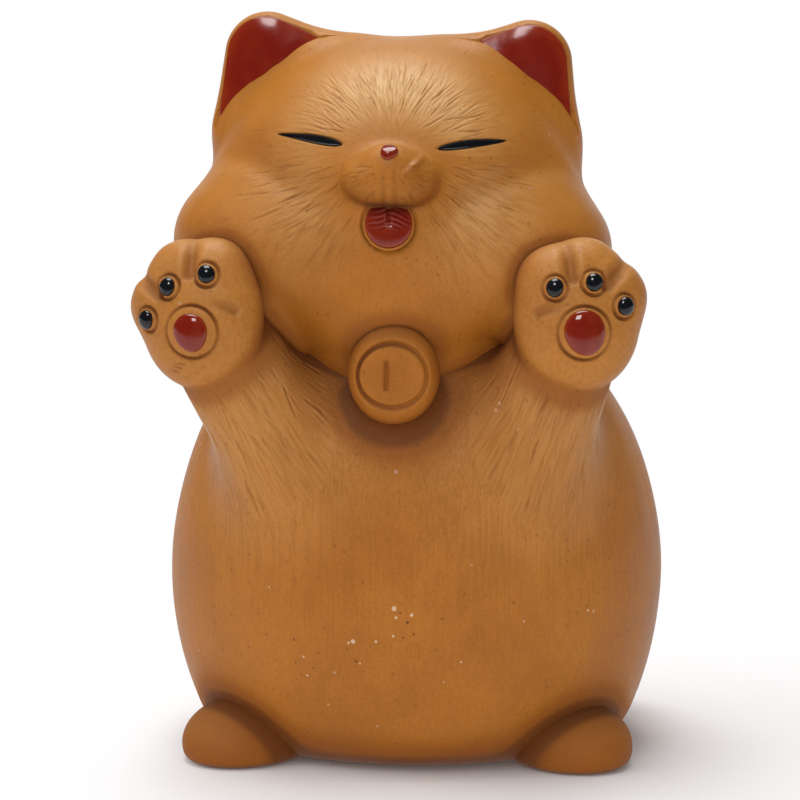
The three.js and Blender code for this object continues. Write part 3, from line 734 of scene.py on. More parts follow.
ARM_ROWS = 190
ARM_AROUND = 400
ARM_STROKES = 260
DEEP_CUT = 0.14  # a stroke this deep shows its full shade
for side, arm in arms.items():
    axis = unit(arm["wrist"] - arm["shoulder"])
    outside = unit(np.cross(axis, FORWARD))
    arm_skin = luted(luted(arm["form"], body, ARM_FILLET), paws[side]["form"], WRIST_SEAM)
    arm_middle = (arm["shoulder"] + arm["wrist"]) / 2
    arm_rows = np.linspace(0, np.pi, ARM_ROWS)
    arm_points = moulded(arm_skin, arm_middle, polar_rays(axis, outside, arm_rows, ARM_AROUND))
    down_arm = (arm_points - arm_middle) @ axis
    beside = (arm_points - arm_middle) - down_arm[..., None] * axis
    round_arm = np.arctan2(beside @ np.cross(axis, outside), beside @ outside) * SHOULDER_RADIUS
    chart = np.stack([-down_arm, round_arm], axis=-1)
    strewn = loose_strokes(ARM_STROKES, (-16, 12), (-26, 26), 0.12, (2.5, 6.0), (0.13, 0.22), (0.04, 0.12))
    off_paw = clamped(paws[side]["form"](arm_points) / 3)
    cut = scored(chart, strewn) * off_paw
    arm_points = arm_points - facing(arm_skin, arm_points) * cut[..., None]
    arm_piece = skin(
        side + "_arm_clay",
        arm_points,
        {
            "comb": np.stack([down_arm * 0.18, round_arm * 2.6, round_arm * 0], axis=-1),
            "comb_depth": 0.22 + 0.38 * off_paw,
            "groove": 0.45 * clamped(cut / DEEP_CUT),
            "fur": FAINT_DUST + 0.16 * clamped(body(arm_points) / 7) * off_paw,
        },
    )
    set_in_place(arm_piece, clay, side + "_arm")


# Base plate
# An oval slab of the same clay, set into the body's open bottom and scraped level with its rim.
# The small hole let the kiln's heat out of the hollow.
BASE_VENT = 3.5
PLATE_AROUND = 200
PLATE_EDGE = 0.7  # the scraped face starts this far in from the rim
VENT_EDGE = 0.8  # and ends this far out from the vent

# Outset or inset and height of each ring: up the vent's wall, then down the rim.
VENT_PROFILE = [
    (VENT_EDGE, 0.05),
    (0.35, 0.08),
    (0.05, 0.4),
    (0, 1.0),
    (0, BASE_THICKNESS - 0.6),
    (0.3, BASE_THICKNESS),
]
RIM_PROFILE = [
    (0.6, BASE_THICKNESS),
    (0.1, BASE_THICKNESS - 0.3),
    (0, BASE_THICKNESS - 0.9),
    (0, 0.6),
    (0.1, 0.2),
    (0.4, 0.02),
]


def plate_ring(inset, height):
    return oval_ring(plate_radii - inset, height, PLATE_AROUND)


def vent_ring(outset, height):
    return oval_ring(np.full(2, BASE_VENT + outset), height, PLATE_AROUND)


plate_share = np.linspace(0, 1, 30)[1:-1, None, None]
scraped = plate_ring(PLATE_EDGE, 0.0) * (1 - plate_share) + vent_ring(VENT_EDGE, 0.0) * plate_share
scraped[..., 2] += 0.05 + 0.04 * np.sin(scraped[..., 0] * 1.9 + np.sin(scraped[..., 1] * 0.6))
plate_walls = [vent_ring(*ring) for ring in VENT_PROFILE] + [plate_ring(*ring) for ring in RIM_PROFILE]
plate_rows = np.concatenate([plate_ring(PLATE_EDGE, 0.0)[None], scraped, np.stack(plate_walls)])
plate_piece = skin("base_plate_clay", plate_rows, closed=True)
set_in_place(plate_piece, clay, "base_plate")


# Hind feet
# Two pinched ovals of clay pressed against the body at the front, thick at the outer side
# and flat below, so that the figure stands on them and on the body's rim.
FOOT_RADII = np.array([8.2, 10.5, 6.0])
FOOT_PLACE = np.array([21.9, -14.8])  # outwards and forward from the body's axis
FOOT_ASIDE = -0.1
FOOT_LIFT = 1.8
FOOT_TURN = 30.0
FOOT_ROLL = 10.0
FOOT_EDGE = 1.2
FOOT_ROWS = 110
FOOT_AROUND = 200


def rubbed(points, pitch, depth, **others):
    """What plain clay carries: rubbing marks of one pitch and depth all over, and any other values."""
    return {"comb": points * pitch, "comb_depth": np.full(points.shape[:2], depth), **others}


feet = {}
for side, sign in SIDES.items():
    foot_spot = BODY_CENTRE[:2] + FOOT_PLACE * [sign, 1] + [FOOT_ASIDE, 0]
    foot_centre = np.append(foot_spot, FOOT_LIFT)
    foot_turn = turned(2, sign * FOOT_TURN) @ turned(1, -sign * FOOT_ROLL)
    feet[side] = thumbed(ellipsoid(foot_centre, FOOT_RADII, foot_turn))
    foot_form = above_table(feet[side], FOOT_EDGE)
    foot_rows = np.linspace(0, np.pi, FOOT_ROWS)
    foot_points = moulded(foot_form, foot_centre, polar_rays(UP, ACROSS, foot_rows, FOOT_AROUND))
    foot_points[..., 2] = np.maximum(foot_points[..., 2], 0)
    foot_piece = skin(side + "_foot_clay", foot_points, rubbed(foot_points, 1.6, 0.25))
    set_in_place(foot_piece, clay, side + "_foot")


# Tail
# A rolled rope of clay that starts low at the back, climbs round to the cat's left and ends blunt.
# It was pressed on and its underside rubbed into the body.
TAIL_RADIUS = 3.6
TAIL_TIP = 0.62  # the tip's share of the radius
TAIL_LIFT = 1.0
TAIL_SINK = 3.4  # how deep its start goes into the body
TAIL_TURNS = np.radians([4, 62])  # from straight back towards the cat's left
TAIL_RISES = np.array([5.5, 20.0])
TAIL_CLEAR = 0.2  # its underside stays this much above the table
TAIL_LENGTH = 42.0  # about, along the middle line
TAIL_UNROLLED = 3.2  # the radius by which its skin is unrolled
TAIL_STROKES = 90
TAIL_ROWS = 130
TAIL_AROUND = 150
TAIL_STEP = 0.002


def tail_line(share):
    """The tail's middle line: its bearing grows evenly, its height with the square of the share."""
    bearing = TAIL_TURNS[0] + (TAIL_TURNS[1] - TAIL_TURNS[0]) * share
    height = TAIL_RISES[0] + (TAIL_RISES[1] - TAIL_RISES[0]) * share**2
    out = np.stack([np.sin(bearing), np.cos(bearing), 0 * bearing], axis=-1)
    axis = np.stack([0 * share + BODY_CENTRE[0], 0 * share + BODY_CENTRE[1], height], axis=-1)
    lift = TAIL_LIFT - TAIL_SINK * np.maximum(1 - share / 0.4, 0) ** 2
    return landing(egg, axis + FAR * out, -out) + lift[..., None] * out


tail_turn = np.linspace(0, np.pi, TAIL_ROWS)
tail_share = (1 - np.cos(tail_turn)) / 2
tail_middle = tail_line(tail_share)
tail_way = unit(tail_line(tail_share + TAIL_STEP) - tail_line(tail_share - TAIL_STEP))
tail_out = facing(egg, tail_middle)
tail_across = unit(np.cross(tail_out, tail_way))
tail_girth = TAIL_RADIUS * (1 + (TAIL_TIP - 1) * tail_share) * np.sqrt(np.sin(tail_turn) ** 0.5 + 1e-9)
tail_girth[[0, -1]] = 0
tail_round = even_turns(TAIL_AROUND)
tail_ring = circle(tail_round, tail_across[:, None], tail_out[:, None])
tail_points = tail_middle[:, None] + tail_ring * tail_girth[:, None, None]
tail_points[..., 2] = np.maximum(tail_points[..., 2], TAIL_CLEAR)
tail_chart = np.broadcast_arrays(tail_share[:, None] * TAIL_LENGTH, tail_round * TAIL_UNROLLED)
tail_chart = np.stack(tail_chart, axis=-1)
tail_strokes = loose_strokes(TAIL_STROKES, (0, 38), (0, 20), 0.2, (2, 5), (0.18, 0.3), (0.05, 0.13))
tail_cut = scored(tail_chart, tail_strokes) * (tail_girth > 1.5)[:, None]
tail_points = tail_points - tail_ring * tail_cut[..., None]
tail_piece = skin("tail_clay", tail_points, {"groove": clamped(tail_cut / DEEP_CUT)})
set_in_place(tail_piece, clay, "tail")


# Head
# A hollow ball with full cheeks, chin and nape, luted to the body's top and turned a little aside.
# A needle scored the fur from the nose outwards; two slits and a stamped ring take eyes and tongue.
SKULL_CENTRE = np.array([-1.7, -0.7, 76.6])
SKULL_RADII = (25.2, 23.0, 20.9)
HEAD_ROLL = 1.7
FACE_ASIDE = 0.65
CHEEK_RADII = (15.6, 14.6, 11.6)
CHEEK_PLACE = (14.2, 7.4, -6.9)  # across, forward and up from the skull's middle
CHIN_RADII = (14.0, 14.6, 10.8)
CHIN_PLACE = (0.7, 8.6, -14.8)
NAPE_RADII = (19.0, 13.0, 12.0)
NAPE_PLACE = (0.0, -6.5, -14.5)
CHEEK_FILLET = 4.0
CHIN_FILLET = 6.0
NAPE_FILLET = 8.0
FOLD_DEPTH = 0.7
FOLD_WIDTH = 1.8
FOLD_ABOVE = 1.7  # the thumb rested on the brow, off the cheek
EAR_FILLET = 4.5
MUZZLE_FILLETS = (2.4, 0.8)  # at its sides, and below where the mouth is
NECK_SEAM = 4.0
HEAD_AROUND = 800
HEAD_ROWS = 122

head_turn = turned(1, HEAD_ROLL)


def from_skull(across, forward, rise):
    return SKULL_CENTRE + head_turn @ np.array([across, -forward, rise])


def from_face(across, forward, rise):
    return from_skull(FACE_ASIDE + across, forward, rise)


skull = ellipsoid(SKULL_CENTRE, SKULL_RADII, head_turn)
cheeks = nearest(
    *[
        ellipsoid(from_skull(sign * CHEEK_PLACE[0], *CHEEK_PLACE[1:]), CHEEK_RADII, head_turn)
        for sign in SIDES.values()
    ]
)
chin = ellipsoid(from_skull(*CHIN_PLACE), CHIN_RADII, head_turn)
nape = ellipsoid(from_skull(*NAPE_PLACE), NAPE_RADII, head_turn)
ball = joined(joined(skull, cheeks, CHEEK_FILLET), chin, CHIN_FILLET)
ball = thumbed(joined(ball, nape, NAPE_FILLET))


def cheek_fold(p):
    """How far a thumb went in between brow and cheek: a bell curve about the line
    where the cheek is farther than the brow by a set amount, in front only."""
    local = (p - SKULL_CENTRE) @ head_turn
    in_front = clamped((-local[..., 1] - 7) / 6) * clamped((local[..., 2] + 3) / 4)
    return hump(skull(p) - cheeks(p) + FOLD_ABOVE, FOLD_WIDTH) * in_front


def head(p):
    return ball(p) + FOLD_DEPTH * cheek_fold(p)


# The muzzle's two lobes and bridge, which the face flows into.
MUZZLE_RADII = (4.1, 4.2, 3.3)
MUZZLE_APART = 2.1
MUZZLE_RISE = 2.9
MUZZLE_FORWARD = 0.1
CROWN_RADII = (3.6, 3.2, 3.0)
CROWN_PLACE = (0.0, 1.2, 1.8)
LOBE_FILLET = 2.0
CROWN_FILLET = 1.6
muzzle_root = landing(head, from_face(0, FAR, MUZZLE_RISE), -FORWARD)


def from_muzzle(across, forward, rise):
    return muzzle_root + head_turn @ np.array([across, -MUZZLE_FORWARD - forward, rise])


lobes = [
    ellipsoid(from_muzzle(sign * MUZZLE_APART, 0, 0), MUZZLE_RADII, head_turn) for sign in SIDES.values()
]
crown = ellipsoid(from_muzzle(*CROWN_PLACE), CROWN_RADII, head_turn)
muzzle = joined(joined(*lobes, LOBE_FILLET), crown, CROWN_FILLET)


def muzzle_fillet(p):
    """Wide at the sides and above; narrow below the lobes, fading with the fourth power across."""
    local = (p - muzzle_root) @ head_turn
    low = hump(local[..., 0], 4.6, 4) * clamped((-local[..., 2] - 0.6) / 1.8)
    return MUZZLE_FILLETS[0] + (MUZZLE_FILLETS[1] - MUZZLE_FILLETS[0]) * low


# The ears are rounded three-cornered plates that stand on the skull's edge.
EAR_BEARING = np.radians(50)
EAR_CORNERS = np.array([[1.4, -6.5], [0.25, 3.0], [-9.5, -0.3]])  # outwards and up from the seat
EAR_ASIDE = -0.5
EAR_ROUNDING = 5.9
EAR_THICKNESS = 6.0
EAR_BACK = 0.5
EAR_FLAT = 0.1
ear_way = np.array([np.sin(EAR_BEARING), np.cos(EAR_BEARING)])
ear_seat = ear_way / np.linalg.norm(ear_way / np.array([SKULL_RADII[0], SKULL_RADII[2]]))


def outline_distance(p, corners):
    """Distance in a plane to a three-cornered outline: the nearest edge, negative within all three."""
    nearest_edge = np.full(p.shape[:-1], np.inf)
    winding = np.zeros(p.shape[:-1])
    for corner, following in zip(corners, np.roll(corners, -1, axis=0)):
        edge = following - corner
        offset = p - corner
        along = clamped(offset @ edge / (edge @ edge))
        gap = np.linalg.norm(offset - along[..., None] * edge, axis=-1)
        nearest_edge = np.minimum(nearest_edge, gap)
        winding = winding + np.sign(edge[0] * offset[..., 1] - edge[1] * offset[..., 0])
    return np.where(np.abs(winding) == 3, -nearest_edge, nearest_edge)


def ear_corners(sign, inset=0.0):
    """The outline's corners beside the skull's middle, with the two low ones drawn in by an inset."""
    drawn_in = np.array([[-0.2, 1.0], [0.0, 0.0], [1.0, -0.1]]) * inset
    return (ear_seat + EAR_CORNERS + drawn_in) * [sign, 1] + [EAR_ASIDE, 0]


def ear_plate(sign, rounding, thickness, middle, inset=0.0):
    """Distance to a plate with soft edges: by its outline in the ear's plane and its half thickness."""
    corners = ear_corners(sign, inset)
    edge = min(thickness / 2, rounding) - EAR_FLAT

    def form(p):
        local = (p - SKULL_CENTRE) @ head_turn
        out = outline_distance(local[..., [0, 2]], corners) - rounding + edge
        through = np.abs(local[..., 1] - middle) - thickness / 2 + edge
        corner = np.hypot(np.maximum(out, 0), np.maximum(through, 0))
        return corner + np.minimum(np.maximum(out, through), 0) - edge

    return form


ears = {side: ear_plate(sign, EAR_ROUNDING, EAR_THICKNESS, EAR_BACK) for side, sign in SIDES.items()}
head_skin = luted(head, nearest(*ears.values()), EAR_FILLET)
head_skin = luted(head_skin, muzzle, muzzle_fillet)
head_skin = luted(head_skin, nearest(body, both_arms), NECK_SEAM)

# The grid's pole is at the nose, where the fur starts. A stroke's place is its distance from
# the nose along the face and its turn about it, anticlockwise from the cat's left.
FUR_RISE = 6.6
FUR_END = 2.0  # radians from the nose, beyond which nothing is scored
nose_root = landing(head, from_face(0, FAR, FUR_RISE), -FORWARD)
nose_way = unit(nose_root - SKULL_CENTRE)
face_side = unit(np.cross(np.cross(nose_way, ACROSS), nose_way))
head_share = np.linspace(0, 1, HEAD_ROWS)
head_rows = np.pi * (0.49 * head_share + 0.51 * head_share**3)
head_points = moulded(head_skin, SKULL_CENTRE, polar_rays(nose_way, face_side, head_rows, HEAD_AROUND))
head_out = facing(head_skin, head_points)
steps_out = length_of(np.diff(head_points, axis=0))[..., 0]
from_nose = np.concatenate([np.zeros((1, HEAD_AROUND)), np.cumsum(steps_out, axis=0)])
fur_turn = even_turns(HEAD_AROUND) + 0 * from_nose
fur_way = np.stack([np.cos(fur_turn), np.sin(fur_turn)], axis=-1)
face_chart = from_nose[..., None] * fur_way


def fur_fan(turns, starts, count, kind):
    """Strokes that radiate from the nose: evenly spread over the fan's turns, each moved a little
    along and across its ray and leaning a little off it."""
    step = (turns[1] - turns[0]) / count
    turn = np.radians(turns[0] + step * (np.arange(count) + chance.uniform(0.1, 0.9, count)))
    start = chance.uniform(*starts, count)
    lean = turn + chance.normal(0, 0.16, count)
    run = chance.uniform(*kind["runs"], count)
    width = chance.uniform(*kind["widths"], count)
    cut = chance.uniform(*kind["cuts"], count)
    return np.stack([start * np.cos(turn), start * np.sin(turn), lean, run, width, cut], axis=-1)


def clear_of(form, p):
    """Zero at a form and one a little way off it, for strokes that stop short of a seam."""
    return clamped(form(p) / 1.2 - 0.2)


brow = {"runs": (3.0, 6.5), "widths": (0.10, 0.15), "cuts": (0.05, 0.12)}
whisker = {"runs": (2.5, 6.0), "widths": (0.09, 0.14), "cuts": (0.06, 0.15)}
stray = {"runs": (1.2, 4.0), "widths": (0.08, 0.13), "cuts": (0.02, 0.07)}

# Each fan has its turns in degrees, where its strokes start, their number and their kind.
brow_fans = [
    ((20, 160), (5.8, 7.4), 10, brow),
    ((12, 168), (7.0, 9.8), 24, brow),
    ((10, 170), (9.0, 12.0), 32, brow),
    ((14, 166), (11.5, 15.0), 36, stray),
    ((12, 168), (5.5, 11.0), 30, stray),
]
right_fans = [
    ((188, 232), (7.5, 10.0), 10, whisker),
    ((184, 240), (10.0, 13.5), 17, whisker),
    ((182, 244), (13.5, 18.0), 20, whisker),
    ((184, 246), (9.0, 20.0), 36, stray),
]
left_fans = [((180 - high, 180 - low), *others) for (low, high), *others in right_fans]
outer_fan = ((0, 360), (19.0, 30.0), 60, stray)
fur = np.concatenate([fur_fan(*fan) for fan in [*brow_fans, *right_fans, *left_fans, outer_fan]])
cut = np.zeros(from_nose.shape)
near_face = head_rows < FUR_END
cut[near_face] = scored(face_chart[near_face], fur)
cut = cut * clear_of(muzzle, head_points)


def painted_mouth_shade(p):
    """Painted shade: the muzzle's lower half, dark along the mouth and at the flanks, fading off the
    muzzle.
    """
    across, deep, rise = np.moveaxis((p - muzzle_root) @ head_turn, -1, 0)
    beyond = np.maximum(muzzle(p), 0)
    low = clamped(-(rise + 0.2) / 3.0) * hump(beyond, 0.9)
    line = hump(rise + 3.2, 0.50) * hump(across, 3.1, 4) * (beyond < 3)
    flank = hump(beyond - 0.5, 0.8) * clamped((np.abs(across) - 2.0) / 2.0)
    flank = flank * hump(rise, 3.6, 4) * (deep < 9)
    return (0.52 * low + 0.85 * line + 0.30 * flank) * hump(across, 6.6, 4)


# Slits for the eyes: a leaf along the slant, whose half width goes as the sine of the turn round it.
EYE_RISE = 7.95
EYE_SLANT = np.radians(17)
EYES = {
    "left": {"apart": 10.6, "length": 5.0, "width": 0.46, "inner": 0.35, "sharp": 1.3},
    "right": {"apart": 11.4, "length": 5.0, "width": 0.46, "inner": 0.66, "sharp": 1.15},
}
SLIT_LONGER = 0.15  # than the glaze that fills it, at each end
SLIT_WIDER = 0.10
SLIT_SLOPE = 0.30
SLIT_DEPTH = 0.45
slit = np.zeros(from_nose.shape)
for side, sign in SIDES.items():
    leaf = EYES[side]
    leaf["place"] = landing(head_skin, from_face(sign * leaf["apart"], FAR, EYE_RISE), -FORWARD)
    leaf["out"] = facing(head_skin, leaf["place"])
    way = np.array([sign * np.cos(EYE_SLANT), 0, np.sin(EYE_SLANT)])
    leaf["along"] = unit(way - (way @ leaf["out"]) * leaf["out"])
    leaf["across"] = np.cross(leaf["out"], leaf["along"])
    offset = head_points - leaf["place"]
    far_along = offset @ leaf["along"] / (leaf["length"] + SLIT_LONGER)
    round_end = np.maximum(1 - far_along**2, 0)
    half = (leaf["width"] + SLIT_WIDER) * round_end ** (leaf["sharp"] / 2) * (1 - leaf["inner"] * far_along)
    past_end = np.maximum(np.abs(far_along) - 1, 0)
    beyond = np.abs(offset @ leaf["across"]) - np.maximum(half, 0) + 4 * past_end
    close = np.linalg.norm(offset, axis=-1) < leaf["length"] + 2
    slit = np.where(close, np.maximum(slit, clamped(0.5 - beyond / SLIT_SLOPE)), slit)

# Stamped ring and recess for the tongue.
TONGUE_RADIUS = 3.4
TONGUE_DROP = 2.9
RING_LEAN = np.radians(235)  # the side where the pipe went in deepest
RING_WIDTH = 0.20
RING_DEPTH = 0.55
RECESS_DEPTH = 0.7
tongue_place = landing(head_skin, from_face(0, FAR, -TONGUE_DROP), -FORWARD)
tongue_out = facing(head_skin, tongue_place)
offset = head_points - tongue_place
tongue_reach = length_of(offset - (offset @ tongue_out)[..., None] * tongue_out)[..., 0]
in_front = offset @ tongue_out > -6
tongue_lean = np.arctan2(offset[..., 2], offset[..., 0]) - RING_LEAN
ring_press = 0.35 + 0.65 * hump(np.angle(np.exp(1j * tongue_lean)), 1.2)
ring_cut = hump(tongue_reach - TONGUE_RADIUS - 0.22, RING_WIDTH) * in_front * ring_press
recess = clamped((TONGUE_RADIUS + 0.1 - tongue_reach) / 0.3) * in_front
head_press = cut + SLIT_DEPTH * slit + RING_DEPTH * ring_cut + RECESS_DEPTH * recess
head_points = head_points - head_out * head_press[..., None]

# Brow and cheeks get a heavier pale dusting, partly real and partly a painted sheen, most on the cat's left
# cheek.
forehead = hump(fur_turn - np.radians(84), 1.35) * hump(from_nose - 10.5, 6.2)
left_cheek_fur = hump(fur_turn - np.radians(328), 0.5)
right_cheek_fur = hump(fur_turn - np.radians(212), 0.5)
cheek_fur = (1.6 * left_cheek_fur + right_cheek_fur) * hump(from_nose - 15, 7)
head_groove = 0.32 * clamped(cut / 0.18) + 0.6 * ring_cut + 0.6 * slit
# Painted shade joins the groove tint here: round the muzzle and mouth, and a soft dark line along the cheek
# fold.
head_groove = head_groove + painted_mouth_shade(head_points) + 0.10 * cheek_fold(head_points)
head_piece = skin(
    "head_clay",
    head_points,
    {
        "comb": np.concatenate([fur_way * 30, from_nose[..., None] * 0.35], axis=-1),
        "comb_depth": clamped(0.12 + 0.7 * forehead + 0.45 * cheek_fur) * clamped((45 - from_nose) / 15),
        "groove": head_groove,
        "fur": clamped(0.95 * forehead + 0.30 * cheek_fur) * clamped(muzzle(head_points) / 5),
    },
)
set_in_place(head_piece, clay, "head_shell")


# Ears
# Rounded plates of clay with a dished front, luted to the skull and rubbed smooth behind.
# Red glaze fills each dish and swells a little over its rim.
EAR_RIM = 0.65
EAR_DISH = 1.3
EAR_GLAZE = 0.9
EAR_INSET = 1.6  # of the dish from the two low corners
EAR_LIP = 0.5  # rounding of the dish's edge
EAR_PILLOW = 1.5  # how far the glaze bulges
EAR_SWELL = 0.16
EAR_ROWS = 130
EAR_AROUND = 260
EAR_GLAZE_ROWS = 46
EAR_GLAZE_AROUND = 220
GLAZE_SUNK = 0.3  # the slip and bond behind the glaze
ear_front = EAR_BACK - EAR_THICKNESS / 2


def glaze_finish(name, tone, thin_tone, gloss):
    """Fired glaze: two tones in clouds, thinner at its edge, darkened by a painted shadow where a piece
    carries one, with slow ripples in a glossy face.
    """
    painted_shadow_tone = (0.02, 0.004, 0.002, 1)
    material, tree = blank_material(name)
    place = node(tree, "TexCoord").outputs["Object"]
    cloud = noise(tree, place, 420, 3)
    ripple = noise(tree, place, 700, 1)
    rim = ranged(tree, carried(tree, "edge"), 0.80, 1.0)
    thin = sums(tree, "MULTIPLY", rim, ranged(tree, cloud, 0.2, 0.7, 0.4, 1.0))
    base = mixed(tree, ranged(tree, cloud, 0.35, 0.75, 0.0, 0.35), tone, thin_tone)
    base = mixed(tree, thin, base, thin_tone)
    base = mixed(tree, carried(tree, "pool"), base, painted_shadow_tone)
    wave = node(tree, "Bump", {"Height": ripple, "Strength": 0.35, "Distance": 0.00006})
    face = node(
        tree,
        "BsdfPrincipled",
        {"Base Color": base, "Roughness": gloss, "IOR": 1.55, "Normal": wave.outputs[0]},
    )
    node(tree, "OutputMaterial", {"Surface": face.outputs[0]})
    return material


satin_glaze = glaze_finish("red_glaze_satin", (0.180, 0.007, 0.0015, 1), (0.25, 0.022, 0.004, 1), 0.15)
red_glaze = glaze_finish("red_glaze", (0.175, 0.010, 0.003, 1), (0.25, 0.030, 0.007, 1), 0.09)
black_glaze = glaze_finish("black_glaze", (0.004, 0.005, 0.007, 1), (0.010, 0.007, 0.006, 1), 0.06)


def wrapped(top, under):
    """Rows of an upper face from its middle out, then of the under face back in."""
    return np.concatenate([top, under[::-1]])


for side, sign in SIDES.items():
    corners = ear_corners(sign, EAR_INSET)
    ear_x, ear_z = corners.mean(axis=0)
    ear_middle = from_skull(ear_x, -EAR_BACK, ear_z)
    forward = head_turn @ FORWARD
    sideways = head_turn @ ACROSS
    dish = ear_plate(sign, EAR_ROUNDING - EAR_RIM, 2 * EAR_DISH, ear_front, EAR_INSET)
    ear_skin = kept(luted(thumbed(ears[side]), head, EAR_FILLET), dish, EAR_LIP)
    ear_rays = polar_rays(forward, sideways, np.linspace(0, np.pi, EAR_ROWS), EAR_AROUND)
    ear_points = moulded(ear_skin, ear_middle, ear_rays)
    ear_piece = skin(side + "_ear_clay", ear_points, rubbed(ear_points, 1.4, 0.2))
    set_in_place(ear_piece, clay, side + "_ear")

    # The glaze is a disc over the dish's outline: out from the middle to the outline less the rim.
    ear_turns = even_turns(EAR_GLAZE_AROUND)
    ear_ways = np.stack([np.cos(ear_turns), np.sin(ear_turns)], axis=-1)
    reach = np.zeros(EAR_GLAZE_AROUND)
    for _ in range(60):
        here = np.array([ear_x, ear_z]) + ear_ways * reach[:, None]
        reach = reach - 0.7 * (outline_distance(here, corners) - EAR_ROUNDING + EAR_RIM)
    glaze_share = np.linspace(0, 1, EAR_GLAZE_ROWS)
    flat = np.array([ear_x, ear_z]) + ear_ways * (reach * glaze_share[:, None])[..., None]
    pillow = EAR_PILLOW * (1 - glaze_share**2.3)
    swell = EAR_SWELL * np.sin(flat[..., 0] * 1.1) * np.sin(flat[..., 1] * 0.9 + 1)
    front_depth = ear_front + EAR_DISH - EAR_GLAZE - pillow[:, None] + swell * (1 - glaze_share[:, None])
    back_depth = np.full(front_depth.shape, ear_front + EAR_DISH + GLAZE_SUNK)
    faces = [np.stack([flat[..., 0], depth, flat[..., 1]], axis=-1) for depth in (front_depth, back_depth)]
    glaze_rows = wrapped(*faces) @ head_turn.T + SKULL_CENTRE
    glaze_edge = wrapped(glaze_share, glaze_share)[:, None] + 0 * ear_turns
    glaze_piece = skin(side + "_ear_red", glaze_rows, {"edge": glaze_edge})
    set_in_place(glaze_piece, satin_glaze, side + "_ear_glaze")


# Muzzle and nose
# A small pinched lump with two lobes, pressed on below the brow and smoothed in above.
# One drop of red glaze on its crest is the nose.
MUZZLE_ROWS = 130
MUZZLE_AROUND = 260
WHISKER_RISE = 2.5  # where the whisker strokes start from, up from the muzzle's middle
PHILTRUM_DEPTH = 0.15
PINCH_HEIGHT = 0.34
DENT_DEPTH = 0.22
THUMB_DEPTH = 0.25
muzzle_skin = luted(muzzle, head, muzzle_fillet)
muzzle_middle = from_muzzle(0, 0.5, 0)
muzzle_rays = polar_rays(FORWARD, ACROSS, np.linspace(0, np.pi, MUZZLE_ROWS), MUZZLE_AROUND)
muzzle_points = moulded(muzzle_skin, muzzle_middle, muzzle_rays)
local = (muzzle_points - muzzle_middle) @ head_turn
below_nose = clamped((2.4 - local[..., 2]) / 1.2) * clamped((local[..., 2] + 3.6) / 0.8)
philtrum = hump(np.abs(local[..., 0] - 0.2) - 0.75, 0.30) * below_nose * (local[..., 1] < 0)
muzzle_flat = local[..., [0, 2]]
short_whisker = {"runs": (1.0, 2.6), "widths": (0.10, 0.17), "cuts": (0.02, 0.06)}
whiskers = [fur_fan(turns, (1.8, 5.0), 36, short_whisker) for turns in [(185, 250), (-70, -5)]]
muzzle_cut = scored(muzzle_flat - [0, WHISKER_RISE], np.concatenate(whiskers))
muzzle_cut = muzzle_cut * clear_of(head, muzzle_points)


def pressed(middle, sizes, lean=0.0):
    """Bell-shaped oval spot on the muzzle's front, about a middle and with its long axis leaning."""
    turn = np.radians(lean)
    across = np.array([[np.cos(turn), -np.sin(turn)], [np.sin(turn), np.cos(turn)]])
    spot = np.exp(-np.sum((((muzzle_flat - middle) @ across) / sizes) ** 2, axis=-1))
    return spot * (local[..., 1] < 1)


# Over the left lobe a pinched ridge rises outwards, with a dent beyond it; a thumb flattened the right.
pinch = pressed([3.2, 2.2], [1.7, 0.48], 45)
dent = pressed([5.7, 2.9], [0.55, 0.55])
thumb_flat = pressed([-3.6, 2.2], [1.6, 1.1])
muzzle_press = muzzle_cut + PHILTRUM_DEPTH * philtrum - PINCH_HEIGHT * pinch
muzzle_press = muzzle_press + DENT_DEPTH * dent + THUMB_DEPTH * thumb_flat
muzzle_points = muzzle_points - facing(muzzle_skin, muzzle_points) * muzzle_press[..., None]
# The muzzle's groove tint takes in the painted shade round the mouth.
muzzle_groove = 0.5 * clamped(muzzle_cut / 0.1) + 0.2 * philtrum + 0.4 * dent + painted_mouth_shade(muzzle_points)
muzzle_piece = skin("muzzle_clay", muzzle_points, rubbed(muzzle_points, 1.8, 0.35, groove=muzzle_groove))
set_in_place(muzzle_piece, clay, "muzzle")

DROP_ROWS = 40
DROP_AROUND = 120
DROP_START = 6.0  # how far off the form its footprint is laid down from
drop_turns = even_turns(DROP_AROUND)


def drop(name, form, place, along, outline, height, sink=0.35, lift=None):
    """A drop of glaze on a form. Its footprint is the outline shrunk ring by ring, laid on the form along
    the normal at its place; its height falls from the middle as a rounded dome; its underside is sunk.
    A lift changes the height: it gets the footprint on the form and flat, each ring's share, the height."""
    out = facing(form, place)
    along = unit(along - (along @ out) * out)
    across = np.cross(out, along)
    share = np.sin(np.linspace(0, np.pi / 2, DROP_ROWS))
    flat = share[:, None, None] * outline[None]
    start = place + flat[..., :1] * along + flat[..., 1:] * across + DROP_START * out
    foot = landing(form, start, -out)
    normal = facing(form, foot)
    rise = height * np.sqrt(np.maximum(1 - share**2, 0)) ** 0.9
    rise = rise[:, None] + 0 * flat[..., 0]
    if lift is not None:
        rise = rise + lift(foot, flat, share, rise)
    top = foot + normal * rise[..., None]
    under = foot - normal * sink
    under[0] = under[0].mean(axis=0)
    top[0] = top[0].mean(axis=0)
    edge = wrapped(share, share)[:, None] + 0 * outline[:, 0]
    return skin(name, wrapped(top, under), {"edge": edge})


def round_outline(half_length, half_width, wander, phase):
    """An oval that wanders a little off round: its radius swings twice and three times a turn."""
    swing = 1 + wander * (np.sin(2 * drop_turns + phase) + 0.7 * np.sin(3 * drop_turns + 2 * phase))
    oval = np.stack([half_length * np.cos(drop_turns), half_width * np.sin(drop_turns)], axis=-1)
    return oval * swing[:, None]


